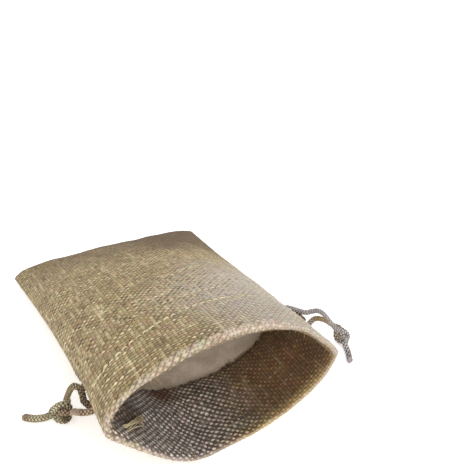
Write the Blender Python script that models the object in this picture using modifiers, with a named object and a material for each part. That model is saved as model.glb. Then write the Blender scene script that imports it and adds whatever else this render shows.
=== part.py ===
"""A small burlap drawstring sack lying on its back panel with the mouth held open.

One cloth is folded at the closed end, sewn up both sides and hemmed at the mouth. The hem is
turned inwards and holds a channel for two drawstrings, which leave it through a slit in each
side seam. A thin pale lining shows inside, tucked under the raw edge of the hem.

Frame: +X to the sack's right, +Y towards the closed end, +Z up, floor at z = 0. Metres.
"""

import math

import bmesh
import bpy
import numpy as np
from mathutils import Matrix, Vector

MM = 0.001

# Cloth, flat sizes
PANEL_WIDTH = 98.8 * MM
PANEL_LENGTH = 139.3 * MM
CLOTH = 1.1 * MM
LINING = 1.0 * MM
CLEAR = 0.3 * MM

# Where the side seams run, from the corners of the closed end to those of the mouth
END_CORNER_X = 49.0 * MM
END_CORNER_Y = 70.0 * MM
END_CORNER_Z = 2.2 * MM
LEFT_SEAM = np.array([(-49.0, 70.0, 2.2), (-44.4, 24.0, 10.6), (-40.6, -17.6, 21.8), (-40.7, -66.3, 28.3)]) * MM
RIGHT_SEAM = np.array([(49.0, 70.0, 2.2), (45.8, 24.1, 8.7), (44.5, -21.3, 17.7), (41.0, -67.1, 24.2)]) * MM

# Cross sections of the front panel, at the closed end and at the mouth. Each row places one
# control of the curve between the seams: share of the way across, push along Y, relative rise.
FRONT_AT_END = np.array([(0.05, 0.0, 1.0), (0.35, 0.0, 1.3), (0.65, 0.0, 1.3), (0.95, 0.0, 1.0)])
FRONT_AT_MOUTH = np.array([(-0.056, 2.4, 0.46), (0.228, 4.5, 0.91), (0.591, 3.4, 1.08), (0.820, 6.5, 0.90)])
# The same for the back panel, which lies on the floor: share of the way across, push along Y.
BACK_AT_END = np.array([(0.05, 0.0), (0.35, 0.0), (0.65, 0.0), (0.95, 0.0)])
BACK_AT_MOUTH = np.array([(0.302, -3.6), (0.290, -2.5), (0.491, 1.3), (0.908, -1.2)])
FLOOR_LEVEL = CLOTH / 2
MIDDLE_Y = 2.055 * MM  # of the cloth, which is centred on the origin at the end
FLAT_BAND = np.array([0.35, 2.3]) * MM

# The hem, as distances from the lip: where the drawstring channel starts and ends at the left
# seam, at the right seam, and how far it narrows in the middle of each panel
CHANNEL_START = np.array([12.6, 19.6]) * MM
CHANNEL_END = np.array([30.8, 37.6]) * MM
START_NARROWS = {"front": 7.0 * MM, "back": 4.5 * MM}
END_NARROWS = {"front": 0.9 * MM, "back": 3.0 * MM}
HEM_BEYOND_CHANNEL = 2.4 * MM
LIP_GAP = 1.8 * MM
HEM_GAP = 2.0 * MM
CHANNEL_GAP = 4.1 * MM
EDGE_GAP = 3.1 * MM
SLIT_REACH = {"front": 2.7 * MM, "back": 4.3 * MM}
SEAM_ROOM = 1.12  # how much roomier the hem is at the side seams than beside them

# Drawstrings
CORD = 2.1 * MM
CORD_TO_EDGE = 1.8 * MM
CORD_PITCH = 2.7 * MM
CORD_DEPTH = 2.05 * MM
TAIL = 2.5 * MM
CHANNEL_REACH = 35 * MM
CHANNEL_STEP = 2.6 * CORD
FREE_STEP = 1.2 * CORD

# Mesh density
PANEL_COLUMNS = 22
BODY_ROWS = 15
CAP_ROWS = 3
LIP_STEPS = 3

SHEEN = {
    "burlap": ((0.47, 0.38, 0.25, 1.0), 0.9),
    "lining": ((0.62, 0.56, 0.48, 1.0), 0.8),
    "cord": ((0.50, 0.42, 0.29, 1.0), 0.75),
}


def bezier(controls, t):
    """Points at t on a Bezier curve with any number of controls."""
    last = len(controls) - 1
    t = np.asarray(t, float)[..., None]
    return sum(math.comb(last, i) * t**i * (1 - t) ** (last - i) * controls[i] for i in range(last + 1))


def lengths_along(points):
    steps = np.linalg.norm(np.diff(points, axis=0), axis=1)
    return np.concatenate([[0.0], np.cumsum(steps)])


def evenly(controls, shares, samples=400):
    """Points on a Bezier curve at shares of its length."""
    t = np.linspace(0.0, 1.0, samples)
    along = lengths_along(bezier(controls, t))
    return bezier(controls, np.interp(np.asarray(shares) * along[-1], along, t))


def front_controls(left, right, share, rise):
    """Controls of the front panel's cross section, for a trial rise."""
    rows = FRONT_AT_END + (FRONT_AT_MOUTH - FRONT_AT_END) * np.array([share, share**2, share])
    inner = left + rows[:, :1] * (right - left)
    inner[:, 1] += rows[:, 1] * MM
    inner[:, 2] += rows[:, 2] * rise
    return np.vstack([left, inner, right])


def front_section(left, right, share, shares_across):
    """The front panel arches until its section is as long as the cloth is wide."""
    low, high = 0.0, 60 * MM
    t = np.linspace(0.0, 1.0, 80)
    for _ in range(30):
        rise = (low + high) / 2
        long = lengths_along(bezier(front_controls(left, right, share, rise), t))[-1]
        low, high = (rise, high) if long < PANEL_WIDTH else (low, rise)
    return evenly(front_controls(left, right, share, rise), shares_across)


def back_section(left, right, share, shares_across):
    """The back panel drops from the seams and lies flat on the floor between them."""
    rows = BACK_AT_END + (BACK_AT_MOUTH - BACK_AT_END) * np.array([share, share**2])
    inner = left + rows[:, :1] * (right - left)
    inner[:, 1] += rows[:, 1] * MM
    inner[:, 2] = FLOOR_LEVEL
    section = evenly(np.vstack([left, inner, right]), shares_across)
    band = FLAT_BAND[0] + (FLAT_BAND[1] - FLAT_BAND[0]) * share
    seam_height = left[2] + (right[2] - left[2]) * np.asarray(shares_across) - FLOOR_LEVEL
    above = np.maximum(section[:, 2] - FLOOR_LEVEL - band, 0.0)
    section[:, 2] = FLOOR_LEVEL + above * seam_height / (seam_height - band)
    return section


class Wall:
    """The cloth's middle surface: a point for any share across a panel and distance from the lip."""

    STEPS_ALONG = 140
    STEPS_ACROSS = 100
    DIFFERENCE = 0.004

    def __init__(self):
        along = np.linspace(0.0, 1.0, self.STEPS_ALONG + 1)
        across = np.linspace(0.0, 1.0, self.STEPS_ACROSS + 1)
        lefts, rights = evenly(LEFT_SEAM, along), evenly(RIGHT_SEAM, along)
        make = {"front": front_section, "back": back_section}
        self.table = {
            panel: np.array([section(a, b, v, across) for a, b, v in zip(lefts, rights, along)])
            for panel, section in make.items()
        }

    def point(self, panel, u, v):
        """v is the share of the way from the closed end to the lip."""
        table = self.table[panel]
        row = np.clip(v, 0.0, 1.0) * self.STEPS_ALONG
        column = np.clip(u, 0.0, 1.0) * self.STEPS_ACROSS
        i = min(int(row), self.STEPS_ALONG - 1)
        j = min(int(column), self.STEPS_ACROSS - 1)
        a, b = row - i, column - j
        return (
            table[i, j] * (1 - a) * (1 - b)
            + table[i, j + 1] * (1 - a) * b
            + table[i + 1, j] * a * (1 - b)
            + table[i + 1, j + 1] * a * b
        )

    def panel_normal(self, panel, u, v):
        h = self.DIFFERENCE
        across = self.point(panel, u + h, v) - self.point(panel, u - h, v)
        along = self.point(panel, u, v + h) - self.point(panel, u, v - h)
        normal = np.cross(along, across) * (1 if panel == "front" else -1)
        return normal / np.linalg.norm(normal)

    def normal(self, panel, u, v):
        """Outward, and shared by both panels at the seams."""
        normal = self.panel_normal(panel, u, v)
        if min(u, 1 - u) < 1e-6:
            normal = self.panel_normal("front", u, v) + self.panel_normal("back", u, v)
            normal /= np.linalg.norm(normal)
        return normal

    def inside(self, panel, u, from_lip, depth):
        """A point at some depth inside the cloth's middle surface."""
        v = 1 - from_lip / PANEL_LENGTH
        normal = self.normal(panel, u, v)
        mitre = float(normal @ self.panel_normal(panel, u, v))
        if min(u, 1 - u) < 1e-6:
            mitre = max(mitre, 0.7) / SEAM_ROOM
        return self.point(panel, u, v) - normal * depth / mitre

    def beside_seam(self, side, from_lip, out, up):
        """A point near a side seam: so far out of the sack, and so far up towards the front panel."""
        v = 1 - from_lip / PANEL_LENGTH
        seam = self.point("front", side, v)
        outward = self.normal("front", side, v)
        along = self.point("front", side, v + self.DIFFERENCE) - self.point("front", side, v - self.DIFFERENCE)
        upward = np.cross(along, outward) * (1 if side else -1)
        upward /= np.linalg.norm(upward)
        return seam + outward * out + upward * up


def channel_start(panel, u):
    narrows = START_NARROWS[panel] * math.sin(math.pi * u)
    return CHANNEL_START[0] + (CHANNEL_START[1] - CHANNEL_START[0]) * u + narrows


def channel_end(panel, u):
    narrows = END_NARROWS[panel] * math.sin(math.pi * u)
    return CHANNEL_END[0] + (CHANNEL_END[1] - CHANNEL_END[0]) * u - narrows


def hem_rows(panel, u):
    """(distance from the lip, gap between the hem's layers) for each row of the hem's cloth."""
    start, end = channel_start(panel, u), channel_end(panel, u)
    third = (end - start) / 3
    return [
        (start * 0.36, HEM_GAP),
        (start * 0.74, HEM_GAP),
        (start, CHANNEL_GAP),
        (start + third, CHANNEL_GAP),
        (start + 2 * third, CHANNEL_GAP),
        (end, CHANNEL_GAP),
        (end + HEM_BEYOND_CHANNEL, EDGE_GAP),
    ]


SLIT_ROWS = (2, 5)  # of hem_rows: the slits are as long as the channel is wide there


def columns(panel):
    """Shares across a panel: one narrow column beside each seam, for the slits."""
    edge = SLIT_REACH[panel] / PANEL_WIDTH
    return [0.0, *np.linspace(edge, 1 - edge, PANEL_COLUMNS), 1.0]


def ring_places():
    """(panel, share across) round the sack, front panel left to right, then back panel right to left."""
    return [("front", u) for u in columns("front")] + [("back", u) for u in columns("back")[-2:0:-1]]


def new_object(name, mesh, kind, collection):
    """Adds an object with its own material."""
    colour, roughness = SHEEN[kind]
    material = bpy.data.materials.new(f"{name}_{kind}")
    material.use_nodes = True
    shader = material.node_tree.nodes["Principled BSDF"]
    shader.inputs["Base Color"].default_value = colour
    shader.inputs["Roughness"].default_value = roughness
    mesh.materials.append(material)
    made = bpy.data.objects.new(name, mesh)
    collection.objects.link(made)
    return made


def thicken(made, thickness):
    modifier = made.modifiers.new("cloth thickness", "SOLIDIFY")
    modifier.thickness = thickness
    modifier.offset = 0.0
    modifier.use_even_offset = False


def sheet_mesh(name, rings, cap, cut_faces=()):
    """A mesh of rings of points joined row to row, with the first ring closed by a folded cap.

    cap holds, for each inner column of the front panel, the points of the fold between the
    front panel's point and the back panel's. cut_faces are (row, column) quads left open.
    """
    model = bmesh.new()
    rows = [[model.verts.new(Vector(p)) for p in ring] for ring in rings]
    count = len(rings[0])
    half = count // 2
    for r in range(len(rows) - 1):
        for c in range(count):
            if (r, c) in cut_faces:
                continue
            d = (c + 1) % count
            model.faces.new((rows[r][c], rows[r][d], rows[r + 1][d], rows[r + 1][c]))
    fold = {}
    for c in range(1, half):
        inner = [model.verts.new(Vector(p)) for p in cap[c - 1]]
        fold[c] = [rows[0][c], *inner, rows[0][count - c]]
    fold[0] = [rows[0][0]] * len(fold[1])
    fold[half] = [rows[0][half]] * len(fold[1])
    for c in range(half):
        for k in range(len(fold[1]) - 1):
            corners = (fold[c][k], fold[c][k + 1], fold[c + 1][k + 1], fold[c + 1][k])
            model.faces.new(list(dict.fromkeys(corners)))
    bmesh.ops.recalc_face_normals(model, faces=model.faces)
    mesh = bpy.data.meshes.new(name)
    model.to_mesh(mesh)
    model.free()
    mesh.shade_smooth()
    return mesh


def folded_cap(ring, steps, bulge):
    """Points of the fold that joins the front and back of a ring, bulging towards +Y."""
    count = len(ring)
    cap = []
    for c in range(1, count // 2):
        top, low = np.array(ring[c]), np.array(ring[count - c])
        gap = np.linalg.norm(top - low)
        turns = [math.pi * k / steps for k in range(1, steps)]
        outward = np.array([0.0, bulge * gap / 2, 0.0])
        cap.append(
            [(top + low) / 2 + (top - low) / 2 * math.cos(a) + outward * math.sin(a) for a in turns]
        )
    return cap


def sack_rings(wall):
    """Rings of the cloth, from the closed end along the outside, round the lip and back along the hem."""
    places = ring_places()
    hems = [hem_rows(panel, u) for panel, u in places]
    rings = []
    for k in range(BODY_ROWS):
        share = k / BODY_ROWS
        ring = []
        for (panel, u), hem in zip(places, hems):
            from_lip = PANEL_LENGTH + (hem[-1][0] - PANEL_LENGTH) * share
            ring.append(wall.inside(panel, u, from_lip, 0.0))
        rings.append(ring)
    hem_count = len(hems[0])
    for row in reversed(range(hem_count)):
        rings.append([wall.inside(p, u, hem[row][0], 0.0) for (p, u), hem in zip(places, hems)])
    radius = LIP_GAP / 2
    for k in range(LIP_STEPS + 1):
        turn = math.pi * k / LIP_STEPS
        from_lip = radius * (1 - math.sin(turn))
        depth = radius * (1 - math.cos(turn))
        rings.append([wall.inside(p, u, from_lip, depth) for p, u in places])
    for row in range(hem_count):
        rings.append([wall.inside(p, u, *hem[row]) for (p, u), hem in zip(places, hems)])
    return rings, hem_count


def slit_faces(hem_count, count):
    """The quads beside the side seams that stay open, in the outer layer of the channel."""
    first = BODY_ROWS + hem_count - 1 - SLIT_ROWS[1]
    last = BODY_ROWS + hem_count - 1 - SLIT_ROWS[0]
    half = count // 2
    beside = (count - 1, 0, half - 1, half)
    return {(r, c) for r in range(first, last) for c in beside}


def build_sack(wall, collection):
    rings, hem_count = sack_rings(wall)
    cap = folded_cap(rings[0], CAP_ROWS, bulge=1.0)
    mesh = sheet_mesh("sack_cloth", rings, cap, slit_faces(hem_count, len(rings[0])))
    made = new_object("sack_cloth", mesh, "burlap", collection)
    thicken(made, CLOTH)
    return made


def lining_reach(wall, v, depth, gap_needed):
    """The share across at which the sack is open enough inside for the lining's side fold."""
    edges = []
    for side in (0.0, 1.0):
        for k in range(1, 60):
            u = abs(side - k / 120)
            open_by = np.linalg.norm(wall.point("front", u, v) - wall.point("back", u, v))
            if open_by >= gap_needed:
                break
        edges.append(u)
    return edges


LINING_COLUMNS = 14
LINING_ROWS = 12
LINING_DEPTH = 1.5 * MM
LINING_FOLD = 1.0 * MM
LINING_TUCK = 1.9 * MM
LINING_UNTUCKED = 10.0 * MM
LINING_START = 0.055


def build_lining(wall, collection):
    """A pocket just inside the cloth, from near the closed end to under the hem's raw edge."""
    depth = LINING_DEPTH
    gap_needed = 2 * depth + LINING + LINING_FOLD
    rings = []
    for row in range(LINING_ROWS + 1):
        share = row / LINING_ROWS
        middle = 1 - channel_end("front", 0.5) / PANEL_LENGTH
        left, right = lining_reach(wall, LINING_START + (middle - LINING_START) * share, depth, gap_needed)
        ring = []
        shares = np.linspace(left, right, LINING_COLUMNS)
        for panel, across in (("front", shares), ("back", shares[::-1])):
            for u in across:
                tuck = min(LINING_TUCK, (min(u, 1 - u) * PANEL_WIDTH - LINING_UNTUCKED) / 2)
                edge = channel_end(panel, u) + HEM_BEYOND_CHANNEL - max(tuck, -CLEAR * 2)
                start = PANEL_LENGTH * (1 - LINING_START)
                ring.append(wall.inside(panel, u, start + (edge - start) * share, depth))
        rings.append(ring)
    model = bmesh.new()
    rows = [[model.verts.new(Vector(p)) for p in ring] for ring in rings]
    count = len(rings[0])
    for r in range(len(rows) - 1):
        for c in range(count):
            d = (c + 1) % count
            model.faces.new((rows[r][c], rows[r][d], rows[r + 1][d], rows[r + 1][c]))
    for c in range(LINING_COLUMNS - 1):
        model.faces.new((rows[0][c], rows[0][count - 1 - c], rows[0][count - 2 - c], rows[0][c + 1]))
    bmesh.ops.recalc_face_normals(model, faces=model.faces)
    mesh = bpy.data.meshes.new("lining")
    model.to_mesh(mesh)
    model.free()
    mesh.shade_smooth()
    made = new_object("lining", mesh, "lining", collection)
    thicken(made, LINING)
    return made


def run_in_channel(wall, panel, from_edge):
    """Points of a drawstring inside one panel's channel, from the left slit to the right one.

    from_edge is (edge, offset at the left, offset at the right): the channel's edge that the
    drawstring follows, and how far from it the drawstring lies.
    """
    edge, left, right = from_edge
    shares = np.linspace(0.06, 0.94, 15)
    return [
        wall.inside(panel, u, edge(panel, u) + left + (right - left) * u, CORD_DEPTH) for u in shares
    ]


# A passage through a slit beside the seam, from each panel's channel to the open. Each row is how
# far out of the sack, how far up towards the front panel, and how far a lean takes it sideways.
SLIT_PASSAGE = {
    "front": np.array([(-2.6, 1.0, -0.2), (-1.4, 0.15, 0.0), (0.0, 0.05, 0.6), (1.3, 0.05, 2.0)]) * MM,
    "back": np.array([(-3.0, -1.65, -0.2), (-1.6, -1.2, 0.0), (-0.2, -1.05, 0.6), (1.3, -1.0, 2.0)]) * MM,
}
LEAN_RISE = 1.15
LOOP_OUT = ((0.2, 1.7 * MM), (0.5, 2.2 * MM), (0.8, 1.9 * MM))  # share of the way along, out of the sack


def through_slit(wall, panel, side, from_lip, lean=0.0):
    """lean is 1 for a drawstring that runs on along the slit as it leaves, over the loop beside it."""
    return [
        wall.beside_seam(side, from_lip - along * lean, out, up + LEAN_RISE * along * lean)
        for out, up, along in SLIT_PASSAGE[panel]
    ]


def loop_outside(wall, side, first_panel, from_lip, to_lip):
    """The short loop of a drawstring between its two passages through one slit."""
    second_panel = "front" if first_panel == "back" else "back"
    first, second = (SLIT_PASSAGE[panel][-1][1] for panel in (first_panel, second_panel))
    return [
        wall.beside_seam(side, from_lip + (to_lip - from_lip) * share, out, first + (second - first) * share)
        for share, out in LOOP_OUT
    ]


# Free stretches, chosen by hand: outside the slits, down to the floor and into the knots
LEFT_UPPER_ROUTE = [(-43.3, -35.0, 20.8), (-44.3, -31.4, 16.9), (-45.1, -28.6, 12.6), (-46.2, -26.9, 8.0)]
LEFT_LOWER_ROUTE = [(-44.0, -50.4, 24.6), (-44.6, -46.6, 21.3), (-44.9, -41.6, 16.5), (-45.4, -35.8, 11.2), (-46.3, -31.0, 7.2)]
LEFT_TAIL_ROUTE = [(-50.2, -24.9, 2.6), (-52.2, -24.4, 1.7), (-54.4, -24.1, 1.5), (-57.4, -22.8, 1.5), (-60.3, -20.5, 1.5)]
RIGHT_UPPER_ROUTE = [(48.5, -36.9, 18.6), (52.4, -36.6, 17.2), (56.6, -35.9, 15.0), (60.2, -35.6, 11.6), (63.4, -36.8, 7.8), (65.0, -39.6, 5.2)]
RIGHT_LOWER_ROUTE = [(46.8, -44.2, 19.4), (50.9, -41.4, 17.0), (55.2, -39.6, 13.9), (59.0, -39.2, 10.4), (62.2, -40.0, 7.2)]
RIGHT_TAIL_ROUTE = [(64.9, -46.6, 2.2), (64.7, -48.2, 1.7), (64.0, -50.2, 1.5), (62.3, -52.6, 1.5), (59.9, -55.4, 1.5)]


class Knot:
    """An overhand knot as one lumpy body: wraps that lie across it on the slant."""

    def __init__(self, centre, size, tilt):
        self.centre = np.array(centre) * MM
        self.half = np.array(size) * MM / 2
        self.turn = Matrix.Rotation(math.radians(tilt), 3, "X")

    def within(self, point, clear):
        """Whether a point lies inside the knot's outer form grown by some clearance."""
        turned = np.array(self.turn.inverted() @ Vector(point - self.centre))
        return float(np.linalg.norm(turned / (self.half + clear))) < 1

    def trimmed(self, points, clear):
        """The points of a line that starts inside the knot, from where it leaves the knot."""
        for i, point in enumerate(points):
            if not self.within(point, clear):
                break
        inner, outer = points[i - 1], point
        for _ in range(20):
            middle = (inner + outer) / 2
            inner, outer = (middle, outer) if self.within(middle, clear) else (inner, middle)
        return np.vstack([outer, points[i:]])

    def build(self, name, collection):
        mesh = bpy.data.meshes.new(name)
        model = bmesh.new()
        bmesh.ops.create_uvsphere(model, u_segments=20, v_segments=12, radius=1.0)
        for vert in model.verts:
            wrap = 0.5 + 0.5 * math.cos(2 * math.atan2(vert.co.y, vert.co.x) + 5.0 * vert.co.z)
            vert.co *= 0.88 + 0.12 * wrap
            vert.co = Vector(np.array(vert.co) * self.half)
        bmesh.ops.rotate(model, verts=model.verts, cent=(0, 0, 0), matrix=self.turn)
        model.to_mesh(mesh)
        model.free()
        mesh.shade_smooth()
        made = new_object(name, mesh, "cord", collection)
        made.location = Vector(self.centre)


LEFT_KNOT = Knot(centre=(-47.4, -27.2, 3.9), size=(7.0, 6.6, 8.0), tilt=35)
RIGHT_KNOT = Knot(centre=(64.9, -43.0, 3.3), size=(6.0, 5.6, 7.6), tilt=80)


def smooth_through(points):
    """Points along a smooth curve through the given ones, closer together at and outside the slits."""
    points = np.asarray(points)
    padded = np.vstack([2 * points[0] - points[1], points, 2 * points[-1] - points[-2]])
    fine = []
    for a, b, c, d in zip(padded, padded[1:], padded[2:], padded[3:]):
        for t in np.linspace(0.0, 1.0, 12, endpoint=False):
            fine.append(
                0.5 * (2 * b + (c - a) * t + (2 * a - 5 * b + 4 * c - d) * t**2 + (3 * b - a - 3 * c + d) * t**3)
            )
    fine = np.array([*fine, points[-1]])
    in_channel = np.abs(fine[1:, 0]) < CHANNEL_REACH
    steps = np.linalg.norm(np.diff(fine, axis=0), axis=1) / np.where(in_channel, CHANNEL_STEP, FREE_STEP)
    along = np.concatenate([[0.0], np.cumsum(steps)])
    at = np.linspace(0.0, along[-1], round(along[-1]) + 1)
    return np.stack([np.interp(at, along, fine[:, k]) for k in range(3)], axis=1)


def build_cord(name, points, collection, diameter=CORD):
    """A tube along the points."""
    curve = bpy.data.curves.new(name, "CURVE")
    curve.dimensions = "3D"
    curve.bevel_depth = diameter / 2
    curve.bevel_resolution = 2
    curve.use_fill_caps = True
    spline = curve.splines.new("POLY")
    spline.points.add(len(points) - 1)
    for place, point in zip(spline.points, points):
        place.co = (*point, 1.0)
    return new_object(name, curve, "cord", collection)


def build_drawstrings(wall, collection):
    """Each drawstring goes round through both panels' channels and is knotted where its ends meet."""
    # (edge followed, distance from it at the left, distance from it at the right)
    runs = {
        "left": {
            "front": (channel_start, CORD_TO_EDGE, CORD_TO_EDGE + CORD_PITCH),
            "back": (channel_end, -CORD_TO_EDGE, -CORD_TO_EDGE - CORD_PITCH),
        },
        "right": {
            "front": (channel_end, -CORD_TO_EDGE - CORD_PITCH, -CORD_TO_EDGE),
            "back": (channel_start, CORD_TO_EDGE + CORD_PITCH, CORD_TO_EDGE),
        },
    }
    for name, near, upper_panel, lean, knot, upper, lower, tail in (
        ("left", 0.0, "back", 0.0, LEFT_KNOT, LEFT_UPPER_ROUTE, LEFT_LOWER_ROUTE, LEFT_TAIL_ROUTE),
        ("right", 1.0, "front", 1.0, RIGHT_KNOT, RIGHT_UPPER_ROUTE, RIGHT_LOWER_ROUTE, RIGHT_TAIL_ROUTE),
    ):
        far = 1.0 - near
        lower_panel = "front" if upper_panel == "back" else "back"
        at = {
            (panel, side): edge(panel, side) + (right if side else left)
            for panel, (edge, left, right) in runs[name].items()
            for side in (near, far)
        }
        legs = {panel: run_in_channel(wall, panel, run) for panel, run in runs[name].items()}
        outward = 1 if near == 0.0 else -1
        points = np.vstack(
            [
                knot.centre,
                np.array(upper)[::-1] * MM,
                through_slit(wall, upper_panel, near, at[upper_panel, near], lean)[::-1],
                legs[upper_panel][::outward],
                through_slit(wall, upper_panel, far, at[upper_panel, far]),
                loop_outside(wall, far, upper_panel, at[upper_panel, far], at[lower_panel, far]),
                through_slit(wall, lower_panel, far, at[lower_panel, far])[::-1],
                legs[lower_panel][::-outward],
                through_slit(wall, lower_panel, near, at[lower_panel, near]),
                np.array(lower) * MM,
                knot.centre,
            ]
        )
        points = smooth_through(points)
        middle = len(points) // 2
        first = knot.trimmed(points[: middle + 1], 1.5 * CLEAR)
        second = knot.trimmed(points[middle:][::-1], 1.5 * CLEAR)[::-1]
        build_cord(f"{name}_drawstring", np.vstack([first, second[1:]]), collection)
        tail_points = smooth_through(np.vstack([knot.centre, np.array(tail) * MM]))
        build_cord(f"{name}_tail", knot.trimmed(tail_points, CLEAR), collection, TAIL)
        knot.build(f"{name}_knot", collection)


def main():
    for old in list(bpy.data.objects):
        bpy.data.objects.remove(old)
    collection = bpy.data.collections.new("burlap_sack")
    bpy.context.scene.collection.children.link(collection)
    wall = Wall()
    build_sack(wall, collection)
    build_lining(wall, collection)
    build_drawstrings(wall, collection)
    centre = bpy.data.objects.new("sack_centre", None)
    centre.location.y = -MIDDLE_Y
    for made in collection.objects:
        made.parent = centre
    collection.objects.link(centre)


main()
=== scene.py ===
"""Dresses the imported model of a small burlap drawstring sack.

The sack lies on its back panel with the mouth held open. Its cloth is a real plain weave in
relief, thread by thread; the lining, the stitching, the frayed threads and the braided, knotted
drawstrings are pieces of their own. Sizes are in mm, and MM turns them to metres.
"""

from __future__ import annotations

import logging
import math
from dataclasses import dataclass, field
from enum import Enum

import bpy
import numpy as np
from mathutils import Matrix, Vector

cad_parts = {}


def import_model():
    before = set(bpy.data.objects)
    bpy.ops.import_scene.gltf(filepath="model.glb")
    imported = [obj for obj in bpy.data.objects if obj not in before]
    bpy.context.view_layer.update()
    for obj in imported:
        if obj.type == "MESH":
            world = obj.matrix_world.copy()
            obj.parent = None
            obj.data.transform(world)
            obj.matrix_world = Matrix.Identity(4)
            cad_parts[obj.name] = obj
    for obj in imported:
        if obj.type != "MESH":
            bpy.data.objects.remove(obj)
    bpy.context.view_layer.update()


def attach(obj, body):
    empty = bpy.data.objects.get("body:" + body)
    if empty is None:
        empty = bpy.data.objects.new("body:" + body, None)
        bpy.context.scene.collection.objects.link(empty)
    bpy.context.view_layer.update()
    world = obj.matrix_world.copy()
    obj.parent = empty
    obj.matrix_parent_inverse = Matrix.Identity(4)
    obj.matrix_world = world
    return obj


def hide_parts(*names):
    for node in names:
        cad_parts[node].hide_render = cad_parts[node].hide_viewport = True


MM = 0.001
MIDDLE_Y = 2.055  # how far the cloth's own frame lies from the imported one
LOG = logging.getLogger("burlap_sack")
Array = np.ndarray
Material, Socket, Thing = bpy.types.Material, bpy.types.NodeSocket, bpy.types.Object


# --------------------------------------------------------------------------- shader nodes


def linear(hex_colour: str) -> tuple[float, float, float, float]:
    """Turns an sRGB colour, six hex digits after a hash, to linear red, green, blue and alpha."""
    parts = [int(hex_colour[i : i + 2], 16) / 255 for i in (1, 3, 5)]
    red, green, blue = (p / 12.92 if p <= 0.04045 else ((p + 0.055) / 1.055) ** 2.4 for p in parts)
    return red, green, blue, 1.0


@dataclass(frozen=True)
class Tint:
    """A soft-edged patch of another tone.

    Attributes:
        tone: Its colour.
        centre: Its middle.
        reach: How far it goes.
        strength: How much of its tone shows at the middle.
        ragged: How far its edge wanders.
        where: The part of the cloth that takes it.
    """

    tone: str
    centre: tuple[float, float, float]
    reach: float
    strength: float
    ragged: float = 0.0
    where: str = ""


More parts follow.
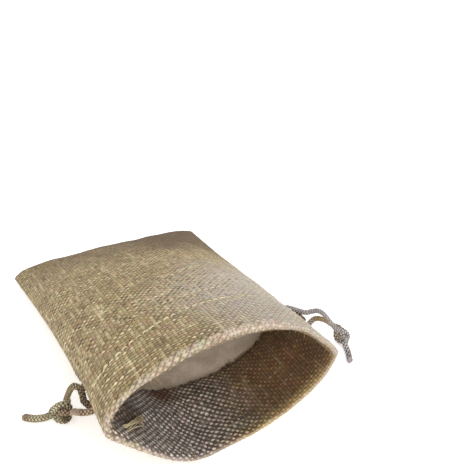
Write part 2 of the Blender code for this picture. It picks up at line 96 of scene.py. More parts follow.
class ShaderGraph:
    """The nodes of a new material. Each method that adds a node returns its result."""

    def __init__(self, name: str) -> None:
        """Makes the material with a Principled shader."""
        self.material = bpy.data.materials.new(name)
        self.material.use_nodes = True
        self.tree = self.material.node_tree
        self.place = self.add("TexCoord").outputs["Object"]

    def add(self, kind: str, links: dict | None = None, **settings: object) -> bpy.types.Node:
        """Adds a node and returns it.

        Args:
            kind: The node's type, without "ShaderNode".
            links: Value or socket for each input, by its name or number.
            settings: The node's own properties.
        """
        node = self.tree.nodes.new("ShaderNode" + kind)
        for name, value in settings.items():
            setattr(node, name, value)
        for key, value in (links or {}).items():
            if isinstance(key, int):
                socket = node.inputs[key]
            else:
                socket = next(s for s in node.inputs if s.name == key and s.enabled)
            if isinstance(value, Socket):
                self.tree.links.new(value, socket)
            else:
                socket.default_value = value
        return node

    def result(self, kind: str, links: dict, **settings: object) -> Socket:
        """Adds a node and returns its first output in use."""
        return next(s for s in self.add(kind, links, **settings).outputs if s.enabled)

    def math(self, operation: str, *values: Socket | float) -> Socket:
        """An operation on up to three values."""
        return self.result("Math", dict(enumerate(values)), operation=operation)

    def times(self, value: Socket, by: Socket | float, plus: Socket | float = 0.0) -> Socket:
        """A value times another, plus a third."""
        return self.math("MULTIPLY_ADD", value, by, plus)

    def wave(self, value: Socket, turns: float = 1.0, kind: str = "COSINE") -> Socket:
        """A wave that comes back so many times in each 1 of the value."""
        return self.math(kind, self.times(value, turns * 2 * math.pi))

    def remap(
        self,
        value: Socket,
        low: float,
        high: float,
        top: float = 1.0,
        bottom: float = 0.0,
        kind: str = "LINEAR",
    ) -> Socket:
        """Turns low to bottom and high to top, and keeps what is beyond at these."""
        ends = {"Value": value, "From Min": low, "From Max": high, "To Min": bottom, "To Max": top}
        return self.result("MapRange", ends, interpolation_type=kind)

    def mix(
        self,
        share: Socket | float,
        a: Socket | str,
        b: Socket | str,
        blend: str = "MIX",
        kind: str = "RGBA",
    ) -> Socket:
        """Blends two colours, or two values of another kind."""
        a, b = (linear(x) if isinstance(x, str) else x for x in (a, b))
        links = {"Factor": share, "A": a, "B": b}
        return self.result("Mix", links, data_type=kind, blend_type=blend)

    def ramp(self, share: Socket, *stops: tuple[float, str]) -> Socket:
        """A colour ramp through its stops."""
        node = self.add("ValToRGB", {0: share})
        elements = node.color_ramp.elements
        for element, (spot, colour) in zip(elements, (stops[0], stops[-1])):
            element.position, element.color = spot, linear(colour)
        for spot, colour in stops[1:-1]:
            elements.new(spot).color = linear(colour)
        return node.outputs[0]

    def vector(self, x: Socket, y: Socket) -> Socket:
        """A vector from two numbers."""
        return self.result("CombineXYZ", {0: x, 1: y})

    def numbers(self, vector: Socket) -> tuple[Socket, Socket]:
        """The first two numbers of a vector."""
        outputs = self.add("SeparateXYZ", {0: vector}).outputs
        return outputs[0], outputs[1]

    def noise(self, place: Socket, scale: float, detail: float = 2.0, output: int = 0) -> Socket:
        """Smooth noise; output 1 is the one in colour."""
        links = {"Vector": place, "Scale": scale, "Detail": detail}
        return self.add("TexNoise", links).outputs[output]

    def patch(self, tint: Tint, core: float, cloud: Socket | None = None) -> Socket:
        """How much of a tint shows; it is full within the core's share of its reach."""
        centre = [c * MM for c in tint.centre]
        links = {0: self.place, 1: centre}
        far = self.add("VectorMath", links, operation="DISTANCE").outputs["Value"]
        if cloud is not None:
            far = self.times(cloud, -tint.ragged * MM, far)
        half = tint.ragged / 2
        low, high = (tint.reach - half) * MM, (tint.reach * core - half) * MM
        return self.remap(far, low, high, tint.strength, kind="SMOOTHSTEP")

    def finish(
        self,
        colour: Socket,
        grain: Socket | None = None,
        bump: tuple[float, float] = (0.0, 0.0),
        **values: object,
    ) -> Material:
        """Connects the colour and the bump and returns the material.

        Args:
            colour: The base colour.
            grain: The height of the bump, if there is one.
            bump: Its strength and its depth.
            values: Constant values of the shader, with _ for each space of a name.
        """
        shader = self.tree.nodes["Principled BSDF"]
        self.tree.links.new(colour, shader.inputs["Base Color"])
        if grain is not None:
            links = {"Height": grain, "Strength": bump[0], "Distance": bump[1] * MM}
            self.tree.links.new(self.add("Bump", links).outputs[0], shader.inputs["Normal"])
        for name, value in values.items():
            shader.inputs[name.replace("_", " ")].default_value = value
        return self.material


# --------------------------------------------------------------------------- finishes

BURLAP_TONES_AND_PAINTED_LIGHT = (
    # painted sheen: the paler, greyer patch on the right of the outside
    Tint("#cac3be", (40.0, -46.0, 26.0), 66.0, 0.68, 24.0, "outside"),
    Tint("#6b5230", (0.0, 96.0, 2.0), 84.0, 0.66, 24.0, "outside"),
    Tint("#5a4424", (44.0, 60.0, 4.0), 62.0, 0.80, 30.0, "outside"),
    # the hem's right: partly the yarn's own brown, partly painted shade and warm bounced light
    Tint("#70421a", (42.0, -46.0, 14.0), 54.0, 0.70, 24.0, "hem"),
    Tint("#dcd6de", (-24.0, -62.0, 8.0), 42.0, 0.78, 24.0, "hem"),
    # painted shade inside the left corner of the mouth
    Tint("#7a624e", (-32.5, -56.0, 21.5), 13.0, 0.85, 8.0, "hem"),
    Tint("#7a5122", (-15.2, -41.2, 6.3), 8.0, 0.95, 6.0, "hem"),
    Tint("#c6b9ac", (0.0, -70.0, 20.0), 400.0, 1.00, 0.0, "lip"),
    Tint("#c9ad7a", (24.0, -69.0, 4.0), 40.0, 0.62, 20.0, "edge"),
    Tint("#b3aaa8", (46.0, -56.0, 32.0), 40.0, 0.90, 16.0, "lip"),
    Tint("#b3aaa8", (-20.0, -69.0, 4.0), 34.0, 0.60, 24.0, "lip"),
)


@dataclass(frozen=True)
class BurlapFinish:
    """Woven jute and linen yarn, unbleached: matt, hairy, each thread of its own tone.

    The map "weave" counts threads, 1.3 mm each, so every pattern is scaled by the thread. Dark
    gaps, painted shade, show between the yarns, and thick and thin places run along each of
    them. Outside, straw turns to brown at the closed end, and a paler, greyer patch on the right
    is painted sheen; inside, the hem goes from grey on the left to brown on the right, a brown
    that is partly the yarn's own and partly painted shade, and a darker patch in the left corner
    of the mouth is painted shade.
    """

    name: str = "plain woven jute burlap"
    thread: tuple = ((0.0, "#786543"), (0.5, "#ae9b74"), (1.0, "#e8dcb6"))
    # painted shade: dark in the gaps of the weave, dim at the yarns' sides, pale on their backs
    painted_gap_shade: tuple = ((0.0, "#33260f"), (0.30, "#857a66"), (0.60, "#dcd7cd"), (1.0, "#ffffff"))
    # painted shade of the dark dashes where the warp dips
    painted_dash_shade: tuple = ((0.0, "#ffffff"), (1.0, "#6f654f"))
    # painted highlights on the crowns of the hem's weft, with painted shade round them
    crown_highlight_and_shade: tuple = ((0.06, "#ffffff"), (0.48, "#aaa398"), (1.0, "#60584c"))
    speck: str = "#7d5a3e"
    # painted shade of the line between rows near the lip
    row_gap_shade: str = "#7f745c"
    half_widths: tuple[float, float] = (0.56, 0.37)  # warp, weft
    lean: float = 0.62
    slub_rate: float = 0.14
    hairs_to_thread: float = 7.0
    # places along the map where a band starts and where it is full
    to_hem: tuple[float, float] = (107.7, 109.0)
    onto_lip: tuple[float, float] = (105.4, 106.8)
    off_lip: tuple[float, float] = (109.3, 108.0)
    off_edge: tuple[float, float] = (112.0, 110.4)
    toward_lip: tuple[float, float] = (80.0, 98.0)
    before_lip: tuple[float, float] = (105.6, 104.6)

    def yarn_tops(
        self, graph: ShaderGraph, across: Socket, along: Socket, over: Socket
    ) -> tuple[Socket, Socket]:
        """Whether the warp shows, and the height of what shows."""
        crowns, yarns = [], []
        for place, half_width in zip((across, along), self.half_widths):
            part = graph.math("FRACT", place)
            crowns.append(graph.wave(part, 0.5, "SINE"))
            beside = graph.math("DIVIDE", graph.math("SUBTRACT", part, 0.5), half_width)
            yarns.append(graph.math("SUBTRACT", 1.0, graph.math("MULTIPLY", beside, beside)))
        warp = graph.times(graph.math("MULTIPLY", over, crowns[1]), 0.5, yarns[0])
        weft = graph.times(graph.math("MULTIPLY", over, crowns[0]), -0.5, yarns[1])
        lead = graph.math("SUBTRACT", warp, weft)
        return graph.math("GREATER_THAN", lead, 0.0), graph.math("MAXIMUM", warp, weft)

    def yarn_noise(
        self,
        graph: ShaderGraph,
        places: tuple[Socket, Socket],
        numbers: tuple[Socket, Socket],
        shows_warp: Socket,
    ) -> list[Socket]:
        """Thick and thin places, some 15 mm long and one thread wide, and the yarn's hairs."""
        slubs, fibres = [], []
        for number, run, cut, shift in zip(numbers, places[::-1], places, (0.0, 211.0)):
            slow = graph.times(run, self.slub_rate)
            slubs.append(graph.vector(graph.times(number, 3.71, shift), slow))
            fine = graph.times(cut, self.hairs_to_thread, shift)
            fibres.append(graph.vector(graph.times(run, 1.3, fine), run))
        return [
            graph.noise(graph.mix(shows_warp, weft, warp, kind="VECTOR"), 1.0)
            for warp, weft in (slubs, fibres)
        ]

    def build(self) -> Material:
        """Builds the material and returns it."""
        graph = ShaderGraph(self.name)
        across, along = graph.numbers(graph.result("UVMap", {}, uv_map="weave"))
        warp, weft = graph.math("FLOOR", across), graph.math("FLOOR", along)
        odd = graph.math("FLOORED_MODULO", graph.math("ADD", warp, weft), 2.0)
        over = graph.times(odd, -2.0, 1.0)
        shows_warp, top = self.yarn_tops(graph, across, along, over)
        slub, fibre = self.yarn_noise(graph, (across, along), (warp, weft), shows_warp)

        # each thread and each crossing has a tone of its own, and a few threads are bleached
        line = graph.mix(shows_warp, graph.math("ADD", weft, 500.5), warp, kind="FLOAT")
        bleached = graph.result("TexWhiteNoise", {"W": line}, noise_dimensions="1D")
        cell = graph.vector(warp, weft)
        chance = graph.result("TexWhiteNoise", {"Vector": cell}, noise_dimensions="2D")
        tone = graph.times(chance, 0.09, graph.times(fibre, 0.35, slub))
        tone = graph.math("ADD", tone, graph.remap(bleached, 0.72, 0.95, 0.10))
        colour = graph.ramp(graph.remap(tone, 0.48, 1.05), *self.thread)

        cloud = graph.noise(graph.place, 45.0, 3.0)
        hem, on_lip = graph.remap(along, *self.to_hem), graph.remap(along, *self.onto_lip)
        at_lip = graph.math("MULTIPLY", on_lip, graph.remap(along, *self.off_lip, 0.70))
        parts = {
            "outside": graph.math("SUBTRACT", 1.0, hem),
            "hem": hem,
            "lip": at_lip,
            "edge": graph.math("MULTIPLY", on_lip, graph.remap(along, *self.off_edge)),
        }
        for tint in BURLAP_TONES_AND_PAINTED_LIGHT:
            near = graph.math("MULTIPLY", graph.patch(tint, 0.35, cloud), parts[tint.where])
            colour = graph.mix(near, colour, tint.tone)
        colour = graph.mix(graph.remap(chance, 0.97, 0.99, 0.35), colour, self.speck)
        mottle = graph.noise(graph.place, 330.0, output=1)
        colour = graph.mix(0.30, colour, mottle, "SOFT_LIGHT")
        # painted light and shade: pale on the yarns' backs, dimmer at their sides, dark in the
        # holes of the weave
        shade = graph.ramp(graph.remap(top, -0.4, 1.5), *self.painted_gap_shade)
        colour = graph.mix(graph.times(at_lip, -0.2, 0.98), colour, shade, "MULTIPLY")

        # the crowns lean, as twisted yarns do: longer one way across the cloth than the other; the
        # painted shade below follows this lean
        waves = [graph.wave(graph.math(way, across, along), 0.5) for way in ("ADD", "SUBTRACT")]
        crossing = graph.times(waves[1], 1 - self.lean, graph.times(waves[0], -self.lean))
        # painted shade and highlights: outside, short dark dashes of shade stand where the warp
        # dips; on the hem, pale painted highlights on the crowns of the weft stand over a dark
        # ground of painted shade. Both are plainer on the right, where the yarns lie closer.
        uneven = graph.times(chance, 0.9, crossing)
        dash_shadows = graph.ramp(graph.remap(uneven, 0.7, 1.5), *self.painted_dash_shade)
        sunk = graph.remap(graph.times(slub, -1.6, uneven), -1.35, 0.2)
        painted_weave_shade = graph.mix(hem, dash_shadows, graph.ramp(sunk, *self.crown_highlight_and_shade))
        marked = graph.remap(graph.numbers(graph.place)[0], 2 * MM, 28 * MM, 0.48, 1.0)
        toward_lip = graph.remap(along, *self.toward_lip)
        row_share = graph.math("MULTIPLY", toward_lip, graph.remap(along, *self.before_lip))
        unmarked = graph.times(at_lip, -0.40, graph.times(row_share, -0.42, 1.0))
        depth = graph.math("MULTIPLY", marked, unmarked)
        colour = graph.mix(depth, colour, painted_weave_shade, "MULTIPLY")
        # near the lip the weft lies in plain rows, with a dark line of painted shade between each
        # two
        between = graph.remap(graph.wave(along), -0.2, 1.0, 0.52)
        row_shade = graph.math("MULTIPLY", between, row_share)
        colour = graph.mix(row_shade, colour, self.row_gap_shade, "MULTIPLY")
        return graph.finish(
            colour,
            fibre,
            (0.5, 0.12),
            Roughness=0.92,
            Specular_IOR_Level=0.2,
            Sheen_Weight=0.12,
            Sheen_Roughness=0.6,
        )


@dataclass(frozen=True)
class LiningFinish:
    """Thin pressed interlining: pale, pinkish grey, matt with a faint fibrous mottle."""

    name: str = "pressed cotton interlining"
    pale: str = "#eaddce"
    shade: str = "#bfae98"
    felt_scale: float = 1600.0  # felted fibres about 0.6 mm apart
    cloud_scale: float = 120.0

    def build(self) -> Material:
        """Builds the material and returns it."""
        graph = ShaderGraph(self.name)
        felt = graph.noise(graph.place, self.felt_scale)
        cloud = graph.noise(graph.place, self.cloud_scale, 5.0)
        # painted shade: darker towards the left, paler towards the right
        to_right = graph.remap(graph.numbers(graph.place)[0], -30 * MM, 30 * MM)
        tone = graph.times(to_right, 0.25, graph.times(felt, 0.5, cloud))
        colour = graph.mix(graph.remap(tone, 0.68, 1.12), self.shade, self.pale)
        return graph.finish(
            colour, felt, (0.5, 0.25), Roughness=0.95, Specular_IOR_Level=0.15, Sheen_Weight=0.1
        )


@dataclass(frozen=True)
class YarnFinish:
    """Spun yarn of cords, stitches and loose ends: matt, streaked along its twist.

    The map "yarn" runs round the yarn in its first number and along it, in mm, in its second.
    A braid has a core tone, dark as painted shade: it fills the core and the places where plies
    dip under others or turn in. Its plies are mapped from 0 or, where they turn left, from 2, and
    what lies on the core from 4.
    """

    name: str
    pale: str
    dark: str
    streak: float = 0.5
    core: str = ""
    crossing: float = 1.1  # how far apart the plies cross along the cord
    # patches of tone, some of them painted shade
    stains_and_shade: tuple[Tint, ...] = ()

    def build(self) -> Material:
        """Builds the material and returns it."""
        graph = ShaderGraph(self.name)
        round_it, along = graph.numbers(graph.result("UVMap", {}, uv_map="yarn"))
        # fibres lie on the slant, six round the yarn and one turn in 1.6 mm
        slant = graph.times(along, 3.7, graph.times(round_it, 6.0))
        fibre = graph.noise(graph.vector(slant, graph.times(along, 0.6)), 1.0)
        tone = graph.times(fibre, self.streak, graph.noise(graph.place, 220.0))
        share = graph.remap(tone, 0.35 + 0.3 * self.streak, 0.65 + 0.7 * self.streak)
        colour = graph.mix(share, self.dark, self.pale)
        if self.core:
            # plies that turn left are duller, and each ply is darkened with painted shade where it
            # dips under another
            returning = graph.math("GREATER_THAN", round_it, 1.5)
            colour = graph.mix(graph.times(returning, 0.35), colour, self.dark)
            side = graph.times(returning, -2.0, 1.0)
            risen = graph.math("MULTIPLY", graph.wave(along, 1 / self.crossing), side)
            colour = graph.mix(graph.remap(risen, 0.5, -0.2, 0.86), colour, self.core)
            # the core, seen in the gaps between the plies, takes the core tone as painted shade
            inner = graph.math("GREATER_THAN", round_it, 3.5)
            colour = graph.mix(inner, colour, self.core)
        # tone patches, and dark patches of painted shade in the knots' hollows
        for tone_patch in self.stains_and_shade:
            colour = graph.mix(graph.patch(tone_patch, 0.4), colour, tone_patch.tone, "MULTIPLY")
        if self.core:
            # painted shade: the plies darken where they turn in beside each other
            turned_in_shade = graph.remap(graph.wave(round_it), 0.75, 0.0, 0.92)
            colour = graph.mix(turned_in_shade, colour, self.core)
        return graph.finish(
            colour, fibre, (0.4, 0.08), Roughness=0.85, Specular_IOR_Level=0.25, Sheen_Weight=0.1
        )


# --------------------------------------------------------------------------- lines and meshes

CAP_MAP = (0.0, 0.24)  # the place on the map "yarn" of a cut end, between pale and dark


def lengths_along(points: Array) -> Array:
    """Distance of each point from the first along the line through them."""
    return np.concatenate([[0.0], np.cumsum(np.linalg.norm(np.diff(points, axis=0), axis=1))])


def unit(vectors: Array) -> Array:
    """The vectors at length 1."""
    return vectors / np.maximum(np.linalg.norm(vectors, axis=-1, keepdims=True), 1e-12)


def eased(share: Array) -> Array:
    """A share that starts and stops slowly, kept between 0 and 1."""
    share = np.clip(share, 0.0, 1.0)
    return share * share * (3 - 2 * share)


def pairs(first: Array, second: Array) -> Array:
    """Map pairs from two arrays that are broadcast together."""
    return np.stack(np.broadcast_arrays(first, second), axis=-1)


def around(first: Array, second: Array, turns: Array) -> Array:
    """Rings of directions, one for each pair of cross directions."""
    cos, sin = np.cos(turns)[None, :, None], np.sin(turns)[None, :, None]
    return first[:, None] * cos + second[:, None] * sin


def at_lengths(at: Array, along: Array, line: Array) -> Array:
    """Points of a line at some lengths along it."""
    return np.stack([np.interp(at, along, line[:, k]) for k in range(3)], axis=1)


def off_floor(line: Array, height: Array | float) -> Array:
    """The line, lifted in place to at least a height over the floor."""
    line[..., 2] = np.maximum(line[..., 2], height)
    return line


def frames_along(line: Array) -> tuple[Array, Array, Array]:
    """Tangents and two cross directions along a line, carried along it without twisting."""
    tangents = unit(np.gradient(line, axis=0))
    first = np.empty_like(tangents)
    steep = abs(tangents[0, 2]) >= 0.9
    axis = np.array([1.0, 0.0, 0.0]) if steep else np.array([0.0, 0.0, 1.0])
    for i, tangent in enumerate(tangents):
        axis = axis - tangent * (axis @ tangent)
        axis = axis / np.linalg.norm(axis)
        first[i] = axis
    return tangents, first, np.cross(tangents, first)


def smooth_line(points: Array, step: float) -> Array:
    """A smooth line through some points, as evenly spaced points one step apart."""
    points = np.asarray(points, float)
    padded = np.vstack([2 * points[0] - points[1], points, 2 * points[-1] - points[-2]])
    fine = []
    for a, b, c, d in zip(padded, padded[1:], padded[2:], padded[3:]):
        t = np.linspace(0.0, 1.0, 16, endpoint=False)[:, None]
        square, cube = 2 * a - 5 * b + 4 * c - d, 3 * b - a - 3 * c + d
        fine.append(0.5 * (2 * b + (c - a) * t + square * t**2 + cube * t**3))
    line = np.vstack([*fine, points[-1:]])
    along = lengths_along(line)
    return at_lengths(np.linspace(0.0, along[-1], max(4, round(along[-1] / step) + 1)), along, line)


def bezier(controls: Array, t: Array) -> Array:
    """Points at t on a Bezier curve with any number of controls."""
    n, t = len(controls) - 1, np.asarray(t, float)[..., None]
    return sum(math.comb(n, i) * t**i * (1 - t) ** (n - i) * controls[i] for i in range(n + 1))


def evenly(controls: Array, shares: Array, samples: int = 400) -> Array:
    """Points on a Bezier curve at shares of its length."""
    t = np.linspace(0.0, 1.0, samples)
    along = lengths_along(bezier(controls, t))
    return bezier(controls, np.interp(np.asarray(shares) * along[-1], along, t))


@dataclass
class SoftNoise:
    """Random heights from -1 to 1 on a lattice, blended smoothly between its points."""

    seed: int
    cells: int = 256

    def at(self, x: Array, y: Array) -> Array:
        """The height at x, y, in cells."""
        values = np.random.default_rng(self.seed).uniform(-1.0, 1.0, (self.cells, self.cells))
        x, y = np.broadcast_arrays(np.asarray(x, float) + 40, np.asarray(y, float) + 40)
        i, j = np.floor(x).astype(int), np.floor(y).astype(int)
        a, b = eased(x - i), eased(y - j)
        i, j = i % self.cells, j % self.cells
        k, m = (i + 1) % self.cells, (j + 1) % self.cells
        low = values[i, j] * (1 - a) + values[k, j] * a
        return low * (1 - b) + (values[i, m] * (1 - a) + values[k, m] * a) * b


@dataclass
class MeshParts:
    """Gathers quads with a two-number map, then makes one smooth object of them."""

    points: list[Array] = field(default_factory=list)
    maps: list[Array] = field(default_factory=list)
    faces: list[Array] = field(default_factory=list)
    count: int = 0

    def grid(self, points: Array, uv: Array, keep: Array | None = None, flip: bool = False) -> None:
        """Adds a sheet of quads.

        Args:
            points: Rows by columns of points.
            uv: Rows by columns of map pairs.
            keep: Which quads there are, or None for all.
            flip: Whether the faces turn the other way.
        """
        rows, columns = points.shape[:2]
        at = np.arange(rows * columns).reshape(rows, columns) + self.count
        quads = np.stack([at[:-1, :-1], at[:-1, 1:], at[1:, 1:], at[1:, :-1]], axis=-1)
        quads = quads.reshape(-1, 4) if keep is None else quads[keep]
        self.points.append(points.reshape(-1, 3))
        self.maps.append(uv.reshape(-1, 2))
        self.faces.append(quads[:, ::-1] if flip else quads)
        self.count += rows * columns

    def tube(
        self,
        line: Array,
        radii: Array | float,
        sides: int = 6,
        start: float = 0.0,
        first_number: float = 0.0,
        plain: bool = False,
    ) -> None:
        """Adds a closed tube.

        Args:
            line: The points of its middle line.
            radii: Its radius, or one for each point.
            sides: How many sides it has.
            start: Where its map along the line starts.
            first_number: Where its map round the tube starts.
            plain: Whether the whole tube has one place on the map, that of a cut end.
        """
        tangents, first, second = frames_along(line)
        turns = np.linspace(0.0, 2 * math.pi, sides + 1)
        radii = np.broadcast_to(np.asarray(radii, float), len(line))[:, None, None]
        body = line[:, None] + around(first, second, turns) * radii
        tips = (
            line[0] - tangents[0] * radii[0, 0] * 0.4,
            line[-1] + tangents[-1] * radii[-1, 0] * 0.4,
        )
        low, high = (np.broadcast_to(tip, (1, sides + 1, 3)) for tip in tips)
        body = np.concatenate([low, body, high])
        along = np.concatenate([[0.0], lengths_along(line), [0.0]]) + start
        along[-1] = along[-2]
        uv = pairs(turns[None] / (2 * math.pi) + first_number, along[:, None] / MM)
        self.grid(body, np.broadcast_to(CAP_MAP, uv.shape) if plain else uv)

    def build(
        self,
        name: str,
        material: Material,
        slot: str,
        replaced: tuple[str, ...],
        map_name: str = "yarn",
    ) -> Thing:
        """Makes the object, has it ride on the sack in place of some nodes and returns it."""
        points, maps = np.concatenate(self.points), np.concatenate(self.maps)
        faces = np.concatenate(self.faces)
        used, index = np.unique(faces, return_inverse=True)
        faces = index.reshape(faces.shape)
        mesh = bpy.data.meshes.new(name)
        mesh.from_pydata(points[used].tolist(), [], faces.tolist())
        layer = mesh.uv_layers.new(name=map_name)
        layer.data.foreach_set("uv", maps[used][faces.reshape(-1)].astype(np.float32).reshape(-1))
        mesh.materials.append(material)
        mesh.shade_smooth()
        mesh.update()
        made = bpy.data.objects.new(name, mesh)
        bpy.context.scene.collection.objects.link(made)
        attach(made, "root")
        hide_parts(*replaced)
        LOG.info("%s: %d quads", name, len(faces))
        return made


# --------------------------------------------------------------------------- the sack's form


class Panel(Enum):
    """The two panels of the sack."""

    FRONT = "front"
    BACK = "back"

    @property
    def other(self) -> Panel:
        """The panel on the other side."""
        return Panel.BACK if self is Panel.FRONT else Panel.FRONT


@dataclass
class SackForm:
    """The middle surface of the cloth, with the sizes of the CAD model.

    The seams and sections are Bezier controls. Those of a section are (share of the way from
    the left seam to the right one, mm along the sack, mm or share up). A pair that is named for
    both panels is (front, back), and a pair of starts or ends is (left, right).
    """

    panel_width: float = 98.8
    panel_length: float = 139.3
    cloth: float = 1.1
    left_seam: tuple = (
        ((-49.0, 70.0, 2.2), (-44.4, 24.0, 10.6), (-40.6, -17.6, 21.8), (-40.7, -66.3, 28.3))
    )
    right_seam: tuple = (
        ((48.8, 70.0, 2.2), (44.2, 24.1, 8.7), (43.4, -21.3, 17.7), (41.0, -67.1, 24.2))
    )
    front_end: tuple = ((0.05, 0.0, 1.0), (0.35, 0.0, 1.3), (0.65, 0.0, 1.3), (0.95, 0.0, 1.0))
    front_mouth: tuple = (
        ((-0.056, 2.4, 0.46), (0.228, 4.5, 0.91), (0.591, 3.4, 1.08), (0.820, 6.5, 0.90))
    )
    back_end: tuple = ((0.05, 0.0), (0.35, 0.0), (0.65, 0.0), (0.95, 0.0))
    back_mouth: tuple = ((0.302, -1.2), (0.290, 0.0), (0.491, 2.6), (0.908, 0.4))
    flat_band: tuple = (0.35, 2.3)  # height that lies flat, at the closed end and at the lip
    channel_starts: tuple = (12.6, 19.6)
    channel_ends: tuple = (30.8, 37.6)
    start_narrows: tuple = (7.0, 4.5)
    end_narrows: tuple = (0.9, 3.0)
    beyond_channel: float = 2.4  # how far the raw edge lies beyond the stitches
    edge_dip: tuple = (4.4, 0.72, 0.34)  # mm, and where across and how wide
    lip_radius: float = 0.9
    hem_gap: float = 1.8
    slit_reach: tuple = (2.7, 4.3)
    seam_room: float = 1.12
    rows: int = 280
    columns: int = 200
    difference: float = 0.004

    def __post_init__(self) -> None:
        """Works out the tables of points."""
        along = np.linspace(0.0, 1.0, self.rows + 1)
        across = np.linspace(0.0, 1.0, self.columns + 1)
        seams = (self.left_seam, self.right_seam)
        lefts, rights = (evenly(np.array(seam), along) for seam in seams)
        makers = {Panel.FRONT: self.front_section, Panel.BACK: self.back_section}
        self.tables: dict[Panel, Array] = {}
        for panel, make in makers.items():
            table = np.array([make(a, b, v, across) for a, b, v in zip(lefts, rights, along)])
            table[..., 1] -= MIDDLE_Y
            self.tables[panel] = table * MM

    def front_section(self, left: Array, right: Array, share: float, across: Array) -> Array:
        """The front panel's cross section: it arches until it is as long as the cloth is wide."""
        end, mouth = np.array(self.front_end), np.array(self.front_mouth)
        rows = end + (mouth - end) * np.array([share, share**2, share])

        def controls(rise: float) -> Array:
            """Controls of the section for a trial rise."""
            inner = left + rows[:, :1] * (right - left)
            inner[:, 1] += rows[:, 1]
            inner[:, 2] += rows[:, 2] * rise
            return np.vstack([left, inner, right])

        low, high = 0.0, 60.0
        t = np.linspace(0.0, 1.0, 80)
        for _ in range(24):
            rise = (low + high) / 2
            long = lengths_along(bezier(controls(rise), t))[-1]
            low, high = (rise, high) if long < self.panel_width else (low, rise)
        return evenly(controls(rise), across)

    def back_section(self, left: Array, right: Array, share: float, across: Array) -> Array:
        """The back panel's cross section: it drops from the seams and lies flat between them."""
        end, mouth = np.array(self.back_end), np.array(self.back_mouth)
        rows = end + (mouth - end) * np.array([share, share**2])
        floor = self.cloth / 2
        inner = left + rows[:, :1] * (right - left)
        inner[:, 1] += rows[:, 1]
        inner[:, 2] = floor
        section = evenly(np.vstack([left, inner, right]), across)
        band = self.flat_band[0] + (self.flat_band[1] - self.flat_band[0]) * share
        seam_height = left[2] + (right[2] - left[2]) * across - floor
        above = np.maximum(section[:, 2] - floor - band, 0.0)
        section[:, 2] = floor + above * seam_height / (seam_height - band)
        return section

    def point(self, panel: Panel, u: Array, v: Array) -> Array:
        """Points for shares across and shares of the way from the closed end to the lip."""
        table = self.tables[panel]
        row, column = np.broadcast_arrays(
            np.asarray(v, float) * self.rows, np.clip(u, 0.0, 1.0) * self.columns
        )
        i = np.clip(row.astype(int), 0, self.rows - 1)
        j = np.clip(column.astype(int), 0, self.columns - 1)
        a, b = (row - i)[..., None], (column - j)[..., None]
        near = table[i, j] * (1 - b) + table[i, j + 1] * b
        return near * (1 - a) + (table[i + 1, j] * (1 - b) + table[i + 1, j + 1] * b) * a

    def panel_normal(self, panel: Panel, u: Array, v: Array) -> Array:
        """Outward directions of one panel."""
        h = self.difference
        across = self.point(panel, u + h, v) - self.point(panel, u - h, v)
        along = self.point(panel, u, v + h) - self.point(panel, u, v - h)
        return unit(np.cross(along, across)) * (1 if panel is Panel.FRONT else -1)

    def seam_normal(self, side: Array, v: Array) -> Array:
        """Outward directions of the seam on a side, which is 0 or 1."""
        return unit(sum(self.panel_normal(panel, side, v) for panel in Panel))

    def from_seam(self, u: Array) -> Array:
        """Distance from the nearer side seam along the cloth."""
        return np.minimum(u, 1 - u) * self.panel_width

    def outward(self, panel: Panel, u: Array, v: Array, rounding: float = 2.5) -> Array:
        """Outward directions, which turn to those of the seam within `rounding` mm of it."""
        share = eased(1 - self.from_seam(u) / rounding)[..., None]
        other = self.panel_normal(panel.other, np.round(u), v)
        return unit(self.panel_normal(panel, u, v) + other * share)

    def layer_offset(self, panel: Panel, u: Array, v: Array) -> Array:
        """What a millimetre of depth inside the cloth adds to a point, roomier at the seams."""
        reach = self.slit_reach[panel is Panel.BACK]
        side = np.round(u)
        edge = np.abs(side - reach / self.panel_width)
        away = self.from_seam(u) / reach
        seam = self.seam_normal(side, v)
        mitre = np.maximum((seam * self.panel_normal(panel, side, v)).sum(-1), 0.7)[..., None]
        inner = self.panel_normal(panel, np.where(away < 1, edge, u), v)
        share = np.clip(away, 0.0, 1.0)[..., None]
        return -(seam * self.seam_room / mitre * (1 - share) + inner * share) * MM

    def channel_start(self, panel: Panel, u: Array) -> Array:
        """Distance from the lip at which the channel starts."""
        low, high = self.channel_starts
        narrows = self.start_narrows[panel is Panel.BACK] * np.sin(np.pi * np.asarray(u))
        return low + (high - low) * u + narrows

    def channel_end(self, panel: Panel, u: Array) -> Array:
        """Distance from the lip at which the channel ends."""
        low, high = self.channel_ends
        narrows = self.end_narrows[panel is Panel.BACK] * np.sin(np.pi * np.asarray(u))
        return low + (high - low) * u - narrows

    def hem_end(self, panel: Panel, u: Array) -> Array:
        """Distance from the lip at which the hem is pressed down, short of its raw edge."""
        end = self.channel_end(panel, u)
        if panel is Panel.FRONT:
            return end
        most, middle, width = self.edge_dip
        dip = most * np.exp(-(((u - middle) / width) ** 2))
        return end - dip * np.clip((1 - u) / 0.12, 0.0, 1.0)

    def hem_depth(self, panel: Panel, u: Array, from_lip: Array) -> Array:
        """Gap between the hem's layers."""
        start, end = self.channel_start(panel, u), self.hem_end(panel, u)
        depth = np.full(np.shape(from_lip), self.hem_gap)
        # (from, to, what it adds to the gap)
        bends = (
            (0.0 * start, start * 0.36, 0.2),
            (start * 0.52, start * 1.12, 2.1),
            (end, end + self.beyond_channel, -1.0),
        )
        for low, high, change in bends:
            depth = depth + change * eased((from_lip - low) / (high - low))
        return depth

    def inside(self, panel: Panel, u: Array, from_lip: Array, depth: Array) -> Array:
        """Points at some depth inside the cloth's middle surface."""
        numbers = (np.asarray(x, float) for x in (u, from_lip, depth))
        u, from_lip, depth = np.broadcast_arrays(*numbers)
        v = 1 - from_lip / self.panel_length
        return self.point(panel, u, v) + self.layer_offset(panel, u, v) * depth[..., None]

